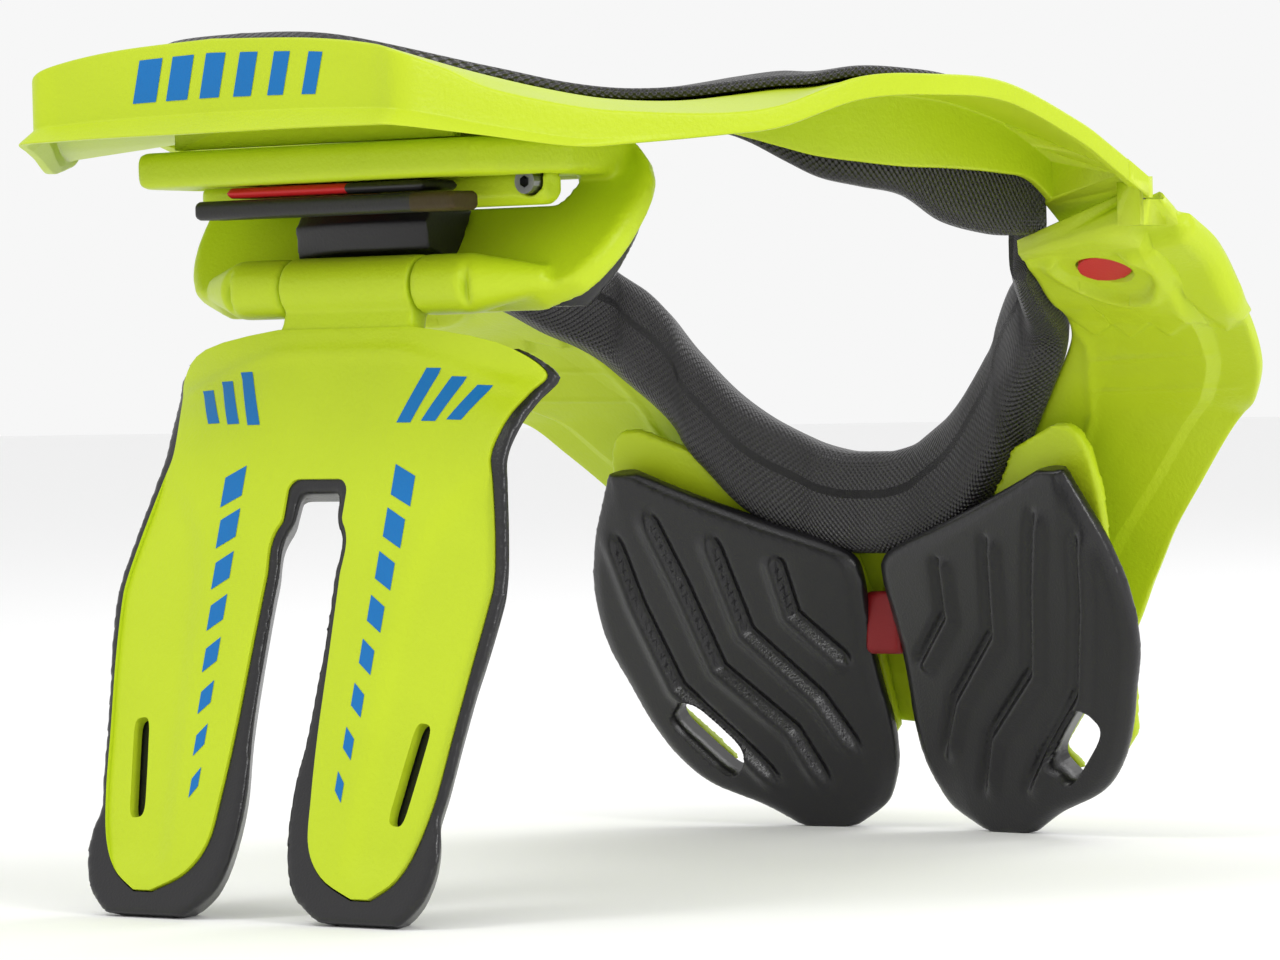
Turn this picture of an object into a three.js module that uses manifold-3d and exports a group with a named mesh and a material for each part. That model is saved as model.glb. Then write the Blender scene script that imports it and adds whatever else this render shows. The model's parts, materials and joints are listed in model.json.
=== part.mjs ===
// Motocross neck brace: a ring that opens at its sides, a two-legged back strut and two chest pads.
// Millimetres, +Z up, +Y the way the wearer looks, +X the wearer's right.
// Everything is laid out from the middle of the strut hinge, then stood on the floor at the end.
import * as THREE from 'three';
import { mergeVertices } from 'three/addons/utils/BufferGeometryUtils.js';
import Module from 'manifold-3d';

const wasm = await Module();
wasm.setup();

// Driving sizes of the ring
const RING_HALF_WIDTH = 122; // middle to the outside of a shoulder
const TABLE_REACH = 46; // strut hinge back to the fascia
const SEAM_REACH = 121; // strut hinge forward to the side seams
const TABLE_CREST = 52; // strut hinge up to the crest of the fascia
const FASCIA_HEIGHT = 20;
const SHELL_WALL = 2.8;
const LIP_FLARE = 5;
const WALL_DROP = 20; // how far the inner wall reaches down beside the neck, below its seat
const CHEST_REACH = 92; // side seams forward to the front of the bib
const BIB_DROP = 106; // strut hinge down to the foot of the bib
const FRONT_WALL = 3.4;
const SHOULDER_FLANGE = 7;

// Rear frame
const FRAME_HALF_WIDTH = 59.5;
const FRAME_WALL = 6.5;
const FRAME_LEAN = THREE.MathUtils.degToRad(39);
const FLANGE_TOP = 30;
const FLANGE_THICK = 7.8;
const FLANGE_REACH = 19;
const WINDOW_WIDTH = 84;

// Strut and its hinge
const STRUT_DROP = 131.8; // hinge above the floor
const STRUT_LEAN = THREE.MathUtils.degToRad(17);
const STRUT_HALF_WIDTH = 50;
const STRUT_LENGTH = 132.5;
const STRUT_THICK = 3.6;
const STRUT_PAD_THICK = 7;
const PAD_RIM = 2.9;
const BARREL_RADIUS = 6.5;
const BARREL_HALF_SPAN = 31.6;
const KNUCKLE_HALF_SPAN = 17.7;
const HINGE_PIN_RADIUS = 2;

// Pads
const COLLAR_PAD_THICK = 9;
const FLAP_THICK = 2.6;
const NECK_PAD_THICK = 8;
const FRONT_COLLAR_THICK = 13;
const FRONT_COLLAR_HEIGHT = 27;
const CHEST_PAD_WIDTH = 73;
const CHEST_PAD_TOP = 45; // below the strut hinge
const CHEST_PAD_THICK = 9;
const CHEST_PAD_SETBACK = 32.6; // the pads' outer top corners behind the middle of the bib
const CHEST_PLATE_THICK = 3;

// Latches and small parts
const PIN_RADIUS = 1.3;
const EYE_RADIUS = 2.9;
const BUTTON_RADIUS = 6.1;
const BUTTON_TRAVEL = 2;
const GAP = 0.35;
const BEYOND = 3 * RING_HALF_WIDTH; // past everything, for the boxes that only cut

const LIME = { color: 0xc6da32, roughness: 0.42, metalness: 0 };
const MESH_FABRIC = { color: 0x2b282b, roughness: 0.85, metalness: 0 };
const FOAM = { color: 0x2a262b, roughness: 0.6, metalness: 0 };
const RED = { color: 0xd8242a, roughness: 0.4, metalness: 0 };
const BLACK_PLASTIC = { color: 0x252326, roughness: 0.45, metalness: 0 };
const STEEL = { color: 0x77777a, roughness: 0.35, metalness: 1 };

const vec = (x, y, z) => new THREE.Vector3(x, y, z);
const UP = vec(0, 0, 1);

// A closed loop of points seen flat, for capping the ends of a skin
function capTriangles(ring) {
  const normal = vec(0, 0, 0);
  ring.forEach((point, i) => normal.add(point.clone().cross(ring[(i + 1) % ring.length])));
  normal.normalize();
  const side = (Math.abs(normal.z) < 0.9 ? UP : vec(1, 0, 0)).clone().cross(normal).normalize();
  const rise = normal.clone().cross(side);
  const flat = ring.map((point) => new THREE.Vector2(point.dot(side), point.dot(rise)));
  return THREE.ShapeUtils.triangulateShape(flat, []);
}

// One closed body through a row of loops with the same number of points
function skin(rings) {
  const count = rings[0].length;
  const triangles = [];
  rings.slice(1).forEach((ring, k) => {
    const last = rings[k];
    for (let i = 0; i < count; i++) {
      const j = (i + 1) % count;
      triangles.push([last[i], last[j], ring[j]], [last[i], ring[j], ring[i]]);
    }
  });
  const start = rings[0];
  const end = rings[rings.length - 1];
  capTriangles(start).forEach(([a, b, c]) => triangles.push([start[c], start[b], start[a]]));
  capTriangles(end).forEach(([a, b, c]) => triangles.push([end[a], end[b], end[c]]));
  const positions = triangles.flat().flatMap((point) => point.toArray());
  const geometry = new THREE.BufferGeometry();
  geometry.setAttribute('position', new THREE.Float32BufferAttribute(positions, 3));
  return volumeOf(geometry) < 0 ? flipped(geometry) : geometry;
}

function volumeOf(geometry) {
  const flat = geometry.index ? geometry.toNonIndexed() : geometry;
  const position = flat.getAttribute('position');
  let sum = 0;
  const [a, b, c] = [vec(0, 0, 0), vec(0, 0, 0), vec(0, 0, 0)];
  for (let i = 0; i < position.count; i += 3) {
    a.fromBufferAttribute(position, i);
    b.fromBufferAttribute(position, i + 1);
    c.fromBufferAttribute(position, i + 2);
    sum += a.dot(b.cross(c)) / 6;
  }
  return sum;
}

function flipped(geometry) {
  const turned = geometry.clone();
  const position = turned.getAttribute('position');
  const array = position.array.slice();
  for (let i = 0; i < array.length; i += 9) {
    for (let k = 0; k < 3; k++) {
      position.array[i + k] = array[i + 6 + k];
      position.array[i + 6 + k] = array[i + k];
    }
  }
  return turned;
}

function toSolid(geometry) {
  const bare = geometry.clone();
  bare.deleteAttribute('normal');
  bare.deleteAttribute('uv');
  const merged = mergeVertices(bare, 1e-4);
  const vertProperties = new Float32Array(merged.getAttribute('position').array);
  const triVerts = new Uint32Array(merged.index.array);
  return new wasm.Manifold(new wasm.Mesh({ numProp: 3, vertProperties, triVerts }));
}

function toGeometry(solid) {
  const { numProp, vertProperties, triVerts } = solid.getMesh();
  const positions = [];
  for (let i = 0; i < vertProperties.length; i += numProp) {
    positions.push(vertProperties[i], vertProperties[i + 1], vertProperties[i + 2]);
  }
  const geometry = new THREE.BufferGeometry();
  geometry.setAttribute('position', new THREE.Float32BufferAttribute(positions, 3));
  geometry.setIndex(Array.from(triVerts));
  return geometry;
}

// Rows between the rows of a table, on a smooth curve through each column
function refine(rows, steps) {
  const keys = Object.keys(rows[0]);
  const at = (i) => rows[Math.max(0, Math.min(rows.length - 1, i))];
  const result = [];
  for (let i = 0; i < rows.length - 1; i++) {
    for (let k = 0; k < steps; k++) {
      const t = k / steps;
      const row = {};
      keys.forEach((key) => {
        const [p, q, r, s] = [at(i - 1)[key], at(i)[key], at(i + 1)[key], at(i + 2)[key]];
        const curve = 2 * q + (r - p) * t + (2 * p - 5 * q + 4 * r - s) * t * t;
        row[key] = (curve + (3 * q - p - 3 * r + s) * t * t * t) / 2;
      });
      result.push(row);
    }
  }
  result.push({ ...rows[rows.length - 1] });
  return result;
}

function named(keys, values) {
  return values.map((line) => Object.fromEntries(keys.map((key, i) => [key, line[i]])));
}

// The loops of a right half, joined to their mirror images on the left
function bothSides(rings) {
  const mirrored = rings.slice(1).map((ring) => ring.map((point) => vec(-point.x, point.y, point.z)));
  return [...mirrored.reverse(), ...rings];
}

function box(x0, x1, y0, y1, z0, z1) {
  return new THREE.BoxGeometry(x1 - x0, y1 - y0, z1 - z0)
    .translate((x0 + x1) / 2, (y0 + y1) / 2, (z0 + z1) / 2);
}

// A round bar between two points
function bar(from, to, radius, sides = 16, endRadius = radius) {
  const run = to.clone().sub(from);
  const geometry = new THREE.CylinderGeometry(endRadius, radius, run.length(), sides);
  geometry.applyQuaternion(new THREE.Quaternion().setFromUnitVectors(vec(0, 1, 0), run.clone().normalize()));
  return geometry.translate(...from.clone().add(to).multiplyScalar(0.5).toArray());
}

const cut = (solid, ...geometries) => geometries.map(toSolid).reduce((a, b) => a.subtract(b), solid);

const moved = (solid, x, y, z) => toSolid(toGeometry(solid).translate(x, y, z));

// A solid cut back from others, and from where they are when moved by each of the moves
const UP_AND_BACK = [[0, 0, 0], [0, 0, GAP], [0, -GAP, 0]];
const DOWN_AND_BACK = [[0, 0, 0], [0, 0, -GAP], [0, -GAP, 0]];
function clearOf(solid, others, moves) {
  return others.reduce((rest, other) => moves.reduce(
    (left, [x, y, z]) => left.subtract(moved(other, x, y, z)), rest,
  ), solid);
}

const root = new THREE.Group();

function addPart(name, shape, finish) {
  const geometry = shape.isBufferGeometry ? shape : toGeometry(shape);
  const mesh = new THREE.Mesh(geometry, new THREE.MeshStandardMaterial(finish));
  mesh.name = name;
  root.add(mesh);
}

// Rear half of the ring, from the middle of the fascia to a side seam.
// out, back, rise: outer edge as shares of half width, ring length and crest. rim: its height.
// in, fore, lift: inner top edge. drop: foot of the inner wall below its seat. flare: the lip.
// flap: how far the pad reaches over the roof. pad: foot of the pad below the seat. puff: its rise.
const REAR_ROWS = named(
  ['out', 'back', 'rise', 'rim', 'in', 'fore', 'lift', 'drop', 'flare', 'flap', 'pad', 'puff'],
  [
    [0.0, 0.0, 0.996, 0.99, 0.0, 0.479, 0.731, 0.0, 1.0, 0.92, 0.0, 0.4],
    [0.205, 0.0, 0.975, 0.935, 0.131, 0.487, 0.731, 0.0, 1.0, 0.88, 0.0, 0.4],
    [0.344, 0.0, 0.937, 0.845, 0.23, 0.506, 0.731, 0.0, 1.0, 0.45, 0.0, 0.2],
    [0.41, 0.0, 0.892, 0.74, 0.295, 0.524, 0.715, 0.0, 0.95, 0.27, 0.0, 0.1],
    [0.459, 0.045, 0.823, 0.62, 0.352, 0.545, 0.71, -0.04, 0.8, 0.2, -0.02, 0.1],
    [0.505, 0.089, 0.745, 0.48, 0.402, 0.568, 0.72, -0.08, 0.6, 0.18, -0.05, 0.2],
    [0.594, 0.17, 0.672, 0.41, 0.451, 0.593, 0.74, -0.08, 0.3, 0.17, -0.04, 0.4],
    [0.656, 0.228, 0.648, 0.32, 0.492, 0.62, 0.76, 0.0, 0.1, 0.16, 0.07, 0.5],
    [0.746, 0.311, 0.637, 0.225, 0.541, 0.659, 0.785, 0.13, 0.0, 0.15, 0.3, 0.4],
    [0.811, 0.377, 0.665, 0.222, 0.578, 0.695, 0.79, 0.23, 0.0, 0.15, 0.465, 0.1],
    [0.888, 0.468, 0.775, 0.237, 0.623, 0.743, 0.808, 0.3, 0.0, 0.13, 0.565, 0.05],
    [0.941, 0.575, 0.788, 0.22, 0.66, 0.802, 0.798, 0.355, 0.0, 0.12, 0.665, 0.05],
    [0.974, 0.7, 0.76, 0.21, 0.689, 0.868, 0.769, 0.375, 0.0, 0.12, 0.95, 0.05],
    [0.994, 0.84, 0.613, 0.217, 0.717, 0.952, 0.692, 0.425, 0.0, 0.12, 1.09, 0.05],
    [1.0, 0.916, 0.506, 0.232, 0.732, 1.012, 0.596, 0.515, 0.0, 0.12, 1.11, 0.05],
    [1.0, 1.0, 0.383, 0.232, 0.746, 1.072, 0.481, 0.915, 0.0, 0.12, 1.1, 0.05],
  ],
);
const RING_LENGTH = TABLE_REACH + SEAM_REACH;
const SEAT = FLANGE_TOP + GAP;
const FLAP_RISE = 5;
const FASCIA_FOLD = 0.78; // how far down the fascia the lip starts
const TABLE_STEPS = 2;

function rearStation(row) {
  const spot = (out, along, up) => vec(
    out * RING_HALF_WIDTH, along * RING_LENGTH - TABLE_REACH, up * TABLE_CREST,
  );
  const outer = spot(row.out, row.back, row.rise);
  const inner = spot(row.in, row.fore, row.lift);
  const inward = vec(inner.x - outer.x, inner.y - outer.y, 0).normalize();
  return { row, outer, inner, inward, foot: SEAT - row.drop * WALL_DROP };
}

const rearStations = refine(REAR_ROWS, TABLE_STEPS).map(rearStation);

// A point beside another one, inward and up by so much
function beside(point, inward, along, up) {
  return point.clone().addScaledVector(inward, along).addScaledVector(UP, up);
}

// The roof with its fascia and lip
function roofRing({ row, outer, inner, inward }) {
  const rim = row.rim * FASCIA_HEIGHT;
  const fold = rim * FASCIA_FOLD;
  const flare = row.flare * LIP_FLARE;
  return [
    beside(outer, inward, -flare, -rim),
    beside(outer, inward, 0, -fold),
    outer,
    inner,
    beside(inner, inward, 0, -SHELL_WALL),
    beside(outer, inward, SHELL_WALL, -SHELL_WALL),
    beside(outer, inward, SHELL_WALL, -fold),
    beside(outer, inward, SHELL_WALL - flare, -rim),
  ];
}

// The wall that hangs from the roof's inner edge
function wallRing({ inner, outer, inward, foot }) {
  const drop = foot - inner.z;
  const width = Math.hypot(outer.x - inner.x, outer.y - inner.y);
  const climb = (SHELL_WALL * (outer.z - inner.z)) / (width - SHELL_WALL);
  return [
    beside(inner, inward, 0, -SHELL_WALL - GAP),
    beside(inner, inward, 0, drop),
    beside(inner, inward, -SHELL_WALL, drop),
    beside(inner, inward, -SHELL_WALL, climb - SHELL_WALL - 2 * GAP),
  ];
}

const PIN_X = RING_HALF_WIDTH - EYE_RADIUS;
const PIN_Y = SEAM_REACH + 0.9;
const EYE_TOP = REAR_ROWS[REAR_ROWS.length - 1].rise * TABLE_CREST;
const EYE_SPLIT = EYE_TOP - REAR_ROWS[REAR_ROWS.length - 1].rim * FASCIA_HEIGHT;
const HOOK_FOOT = EYE_SPLIT - GAP - 5.5;
const PIN_FOOT = HOOK_FOOT + 0.6;
const SKIRT_THICK = 1.4;
const SKIRT_LAP = 3.5;
const ARM_END_DROP = 1; // how far an arm's end reaches down past its wall, towards the shoulder
// From the eye's inner side to the outside of the ring, lower value first
function acrossEye(side) {
  const ends = [side * (PIN_X - EYE_RADIUS), side * RING_HALF_WIDTH];
  return [Math.min(...ends), Math.max(...ends)];
}
const CORNER_ROOM = 2.4;
const RIB_HALF_WIDTH = 38;

// The solid block that closes each arm at its seam
const sided = (side, rings) => rings.map((ring) => ring.map((point) => vec(side * point.x, point.y, point.z)));
function buildArmEnds() {
  const shoulder = frontStations.slice(0, 5).map(frontRing);
  const block = rearStations.slice(-2).map(({ outer, inner, foot }) => [
    beside(outer, UP, 0, -1.2), outer, inner, vec(inner.x, inner.y, foot - ARM_END_DROP),
  ]);
  return [[1, [...shoulder].reverse()], [-1, shoulder]].map(([side, below]) => clearOf(
    toSolid(skin(sided(side, block))), [toSolid(skin(sided(side, below)))], UP_AND_BACK,
  ));
}

// The wall stops short of the blocks at the arms' ends
function buildWall() {
  const wall = toSolid(skin(bothSides(rearStations.map(wallRing))));
  const end = rearStations[rearStations.length - 2].inner.y - SHELL_WALL / 2 - GAP;
  return cut(wall, box(-BEYOND, BEYOND, end, BEYOND, -BEYOND, BEYOND));
}

function buildTable() {
  const shell = skin(bothSides(rearStations.map(roofRing)));
  const core = skin(bothSides(rearStations.map(({ outer, inner, foot }) => [
    vec(outer.x, outer.y, foot),
    beside(outer, UP, 0, -0.6),
    beside(inner, UP, 0, -0.6),
    vec(inner.x, inner.y, foot),
  ])));
  const ribBox = box(
    -RIB_HALF_WIDTH, RIB_HALF_WIDTH, -FLANGE_REACH + 4, -FLANGE_REACH + 7, SEAT, TABLE_CREST + 5,
  );
  const rib = toSolid(core).intersect(toSolid(ribBox));
  let table = toSolid(shell).add(rib);
  buildArmEnds().forEach((block) => { table = table.add(block); });
  [1, -1].forEach((side) => {
    const pinPoint = (z) => vec(side * PIN_X, PIN_Y, z);
    const eye = bar(pinPoint(EYE_SPLIT), pinPoint(EYE_TOP), EYE_RADIUS);
    const bore = bar(pinPoint(EYE_SPLIT - 5), pinPoint(EYE_TOP - 1), PIN_RADIUS + GAP);
    const skirtFace = PIN_Y - EYE_RADIUS - GAP;
    const skirt = box(
      ...acrossEye(side), skirtFace - SKIRT_THICK, skirtFace, HOOK_FOOT, EYE_SPLIT + SKIRT_LAP,
    );
    table = table.add(toSolid(eye)).add(toSolid(skirt)).subtract(toSolid(bore));
  });
  return table;
}

function collarPadRing({ row, inner, outer, inward }) {
  const low = SEAT - row.pad * WALL_DROP - inner.z;
  const roof = (share, up) => inner.clone().lerp(outer, share).addScaledVector(UP, up);
  const rise = row.puff * FLAP_RISE + GAP;
  const side = COLLAR_PAD_THICK + GAP;
  return [
    roof(row.flap, GAP + 0.4),
    roof(row.flap * 0.96, GAP + FLAP_THICK),
    roof(row.flap * 0.35, GAP + FLAP_THICK + 0.3 * rise),
    beside(inner, inward, side * 0.45, rise + FLAP_THICK * 0.35),
    beside(inner, inward, side, -2),
    beside(inner, inward, side * 0.92, low + 3),
    beside(inner, inward, side * 0.6, low),
    beside(inner, inward, GAP, low + 0.5),
    beside(inner, inward, GAP, GAP + 0.4),
  ];
}

// Rear frame: a leaning plate with a window, a flange plate above it and two hinge barrels.
// low, high: along the lean as shares of the plate's length. half: as a share of its half width.
const LEAN_FOOT = vec(0, 3.5, -BARREL_RADIUS + FRAME_WALL * Math.sin(FRAME_LEAN));
const FRAME_LENGTH = (FLANGE_TOP - LEAN_FOOT.z) / Math.cos(FRAME_LEAN);
const FRAME_OUTLINE = named(['half', 'along'], [
  [0.74, 0.0], [0.82, 0.03], [0.89, 0.1], [0.94, 0.2], [0.98, 0.34],
  [1.0, 0.5], [1.0, 0.7], [0.96, 0.86], [0.86, 1.0],
]);

function leaning(x, along, out) {
  const y = LEAN_FOOT.y + along * Math.sin(FRAME_LEAN) + out * Math.cos(FRAME_LEAN);
  const z = LEAN_FOOT.z + along * Math.cos(FRAME_LEAN) - out * Math.sin(FRAME_LEAN);
  return vec(x, y, z);
}

// Where the neck side of the leaning plate is at one height
function neckFace(z) {
  const along = (z - LEAN_FOOT.z + FRAME_WALL * Math.sin(FRAME_LEAN)) / Math.cos(FRAME_LEAN);
  return leaning(0, along, FRAME_WALL).y;
}

function leaningPlate(halfAt, from, to, near, far, steps) {
  const rings = [];
  for (let k = 0; k <= steps; k++) {
    const along = from + (to - from) * (k / steps);
    const half = halfAt(along);
    const soft = Math.min(1.6, (far - near) / 4);
    rings.push([
      leaning(-half + soft, along, near), leaning(half - soft, along, near), leaning(half, along, near + soft),
      leaning(half, along, far - soft), leaning(half - soft, along, far), leaning(-half + soft, along, far),
      leaning(-half, along, far - soft), leaning(-half, along, near + soft),
    ]);
  }
  return skin(rings);
}

const frameRows = refine(FRAME_OUTLINE, 3);
function frameHalf(along) {
  const share = THREE.MathUtils.clamp(along / FRAME_LENGTH, 0, 1);
  const next = Math.max(1, frameRows.findIndex((row) => row.along >= share - 1e-9));
  const [a, b] = [frameRows[next - 1], frameRows[next]];
  const t = (share - a.along) / (b.along - a.along);
  return (a.half + (b.half - a.half) * t) * FRAME_HALF_WIDTH;
}

// The window right through the frame and its pad
function frameWindow(wider) {
  const [low, high] = [FRAME_LENGTH * 0.585 - wider, FRAME_LENGTH * 0.86 + wider];
  const bowed = (along) => Math.sqrt(1 - 0.12 * Math.abs((2 * (along - low)) / (high - low) - 1));
  const half = (along) => (WINDOW_WIDTH / 2 + wider) * bowed(along);
  return leaningPlate(half, low, high, -5, FRAME_WALL + 25, 2);
}

function hingeBore() {
  const half = BARREL_HALF_SPAN + 1;
  return bar(vec(-half, 0, 0), vec(half, 0, 0), HINGE_PIN_RADIUS + GAP, 16);
}

function buildFrame() {
  const plate = leaningPlate(frameHalf, 0, FRAME_LENGTH, 0, FRAME_WALL, 10);
  const flangeBack = -FLANGE_REACH;
  const columnTop = neckFace(FLANGE_TOP - FLANGE_THICK);
  const rightSide = [
    [0.76, flangeBack], [0.82, flangeBack + 5], [0.9, flangeBack + 24], [0.86, columnTop],
  ].map(([half, y]) => new THREE.Vector2(half * FRAME_HALF_WIDTH, y));
  const leftSide = rightSide.map((spot) => new THREE.Vector2(-spot.x, spot.y)).reverse();
  const bevel = 1.2;
  const flange = new THREE.ExtrudeGeometry(new THREE.Shape([...rightSide, ...leftSide]), {
    depth: FLANGE_THICK - 2 * bevel,
    bevelEnabled: true,
    bevelThickness: bevel,
    bevelSize: bevel,
    bevelOffset: -bevel,
    bevelSegments: 1,
  }).translate(0, 0, FLANGE_TOP - FLANGE_THICK + bevel);
  const barrels = [1, -1].flatMap((side) => [
    bar(vec(side * (KNUCKLE_HALF_SPAN + GAP), 0, 0), vec(side * BARREL_HALF_SPAN, 0, 0), BARREL_RADIUS, 18),
    bar(
      vec(side * (BARREL_HALF_SPAN - 0.5), 0, 0), vec(side * (BARREL_HALF_SPAN + 14), 6.5, 0.5),
      BARREL_RADIUS, 18, 0.45 * BARREL_RADIUS,
    ),
    box(
      Math.min(side * (KNUCKLE_HALF_SPAN + GAP), side * BARREL_HALF_SPAN),
      Math.max(side * (KNUCKLE_HALF_SPAN + GAP), side * BARREL_HALF_SPAN),
      1, 9, -BARREL_RADIUS + 0.3, 3,
    ),
  ]);
  let frame = toSolid(plate).add(toSolid(flange));
  frame = cut(frame, frameWindow(0));
  barrels.forEach((piece) => { frame = frame.add(toSolid(piece)); });
  const swing = bar(
    vec(-KNUCKLE_HALF_SPAN - GAP, 0, 0), vec(KNUCKLE_HALF_SPAN + GAP, 0, 0), BARREL_RADIUS + 1.2, 18,
  );
  const bore = hingeBore();
  const armRoom = box(
    ARM.left - 1, ARM.right + 1, ARM.back - BOLT.proud - GAP, ARM.front + GAP,
    FLANGE_TOP - FLANGE_THICK - 2, ARM.top + GAP,
  );
  return cut(frame, swing, bore, armRoom);
}

// Adjuster under the flange
const ARM = { left: -46, right: 48.4, back: 1.5, front: 9.5, low: 16, top: 24 };
const SLIDER = { half: 27, back: -12, front: 1.5 - GAP, low: 19.6, top: FLANGE_TOP - FLANGE_THICK - GAP };
const STRIP = { half: 35.5, back: -12.5, front: -3, low: 15.2, top: SLIDER.low - GAP };

// A block with its long edges chamfered
function roundedBlock({ left, right, half, back, front, low, top }, soft) {
  const [x0, x1] = [left ?? -half, right ?? half];
  const loop = [
    [back + soft, low], [front - soft, low], [front, low + soft], [front, top - soft],
    [front - soft, top], [back + soft, top], [back, top - soft], [back, low + soft],
  ];
  const [middleY, middleZ] = [(back + front) / 2, (low + top) / 2];
  const [narrow, flat] = [1 - soft / (front - back), 1 - soft / (top - low)];
  const whole = loop.map(([y, z]) => [y, z]);
  const small = loop.map(([y, z]) => [middleY + (y - middleY) * narrow, middleZ + (z - middleZ) * flat]);
  const ends = [[x0, small], [x0 + soft, whole], [x1 - soft, whole], [x1, small]];
  return skin(ends.map(([x, ring]) => ring.map(([y, z]) => vec(x, y, z))));
}

const BOLT = { x: 45, z: 20.8, radius: 2.6, proud: 1.4, deep: 4 };
const boltPoint = (y) => vec(BOLT.x, y, BOLT.z);

function buildArm() {
  const seat = bar(boltPoint(ARM.back - 1), boltPoint(ARM.back + BOLT.deep + GAP), BOLT.radius + GAP);
  return cut(toSolid(roundedBlock(ARM, 2)), seat);
}

function buildBolt() {
  const head = bar(boltPoint(ARM.back - BOLT.proud), boltPoint(ARM.back + BOLT.deep), BOLT.radius);
  const socket = bar(boltPoint(ARM.back - BOLT.proud - 1), boltPoint(ARM.back + 1), BOLT.radius * 0.5, 6);
  return cut(toSolid(head), socket);
}

// Wedge between the knuckle and the leaning plate
const WEDGE = { half: 18, back: -2, low: 7, top: 14.6 };
function buildWedge() {
  const face = (z) => leaning(0, (z - LEAN_FOOT.z) / Math.cos(FRAME_LEAN), 0).y - GAP * 1.4;
  const loop = [
    [WEDGE.back + 1, WEDGE.low], [face(WEDGE.low), WEDGE.low], [face(WEDGE.top), WEDGE.top],
    [WEDGE.back + 2.5, WEDGE.top], [WEDGE.back, WEDGE.top - 2],
  ];
  const arc = bar(vec(-WEDGE.half - 1, 0, 0), vec(WEDGE.half + 1, 0, 0), BARREL_RADIUS + 1.2 + GAP, 18);
  const body = skin([-WEDGE.half, WEDGE.half].map((x) => loop.map(([y, z]) => vec(x, y, z))));
  return cut(toSolid(body), arc);
}

const FRONT_ADJUSTER = { half: 5, low: -89, top: -74, thick: 5 };
function buildFrontAdjuster() {
  const [back, front] = [FRONT_ADJUSTER_FACE - FRONT_ADJUSTER.thick, FRONT_ADJUSTER_FACE];
  return roundedBlock({ ...FRONT_ADJUSTER, back, front }, 1);
}

const NECK_PAD_OUT = FRAME_WALL + GAP;
const NECK_PAD_INSET = 8;
const WINDOW_SILL = 15.8; // the level way through the window, above the hinge
function buildNeckPad() {
  const half = (along) => frameHalf(along) - NECK_PAD_INSET;
  const pad = leaningPlate(half, 1.5, FRAME_LENGTH * 0.93, NECK_PAD_OUT, NECK_PAD_OUT + NECK_PAD_THICK, 10);
  const roomAbove = box(-BEYOND, BEYOND, 0, BEYOND, SEAT - 0.8 - GAP, BEYOND);
  const windowHalf = WINDOW_WIDTH / 2 + 0.6;
  const through = box(-windowHalf, windowHalf, 0, BEYOND, WINDOW_SILL, FLANGE_TOP - FLANGE_THICK);
  return cut(toSolid(pad), roomAbove, frameWindow(0.6), through);
}

// Strut: along is down the strut, out is away from the wearer's back
function onStrut(x, along, out) {
  const y = -along * Math.sin(STRUT_LEAN) - out * Math.cos(STRUT_LEAN);
  const z = -along * Math.cos(STRUT_LEAN) + out * Math.sin(STRUT_LEAN);
  return vec(x, y, z);
}

// Half outline of the strut as shares of its half width and length.
// slot: half width of the gap between the legs, zero above the fork. wing: forward bend at the edge.
// rim, slotRim: how far the pad stands out beyond the strut, at its outer edges and in the gap
// between the legs, as shares of its rim.
const STRUT_ROWS = named(['along', 'edge', 'slot', 'wing', 'rim', 'slotRim'], [
  [0.075, 0.36, 0.0, 0.0, 0.7, 1],
  [0.1, 0.8, 0.0, 0.5, 0.7, 1],
  [0.136, 0.99, 0.0, 1.0, 0.8, 1],
  [0.175, 0.95, 0.0, 0.85, 0.9, 1],
  [0.22, 0.9, 0.0, 0.55, 1.1, 1],
  [0.28, 0.87, 0.0, 0.3, 1.2, 1],
  [0.325, 0.9, 0.0, 0.25, 1.1, 1.2],
  [0.41, 0.96, 0.195, 0.2, 1.0, 0.85],
  [0.485, 1.0, 0.205, 0.15, 1.0, 0.85],
  [0.53, 1.0, 0.21, 0.1, 1.0, 0.85],
  [0.63, 0.97, 0.22, 0.05, 0.85, 1.0],
  [0.74, 0.93, 0.23, 0.05, 0.4, 1.3],
  [0.84, 0.895, 0.25, 0.05, 0.3, 2.1],
  [0.92, 0.84, 0.28, 0.0, 2.0, 2.3],
  [0.97, 0.76, 0.38, 0.0, 2.6, 2.8],
  [1.0, 0.64, 0.55, 0.0, 2.8, 3.1],
]);
const FORK = 0.325;
const WING_BEND = 8;
const STRUT_FACE = 3; // outer face behind the hinge axis
const STRUT_PAD_TOP = 14.2; // below the hinge axis

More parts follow.
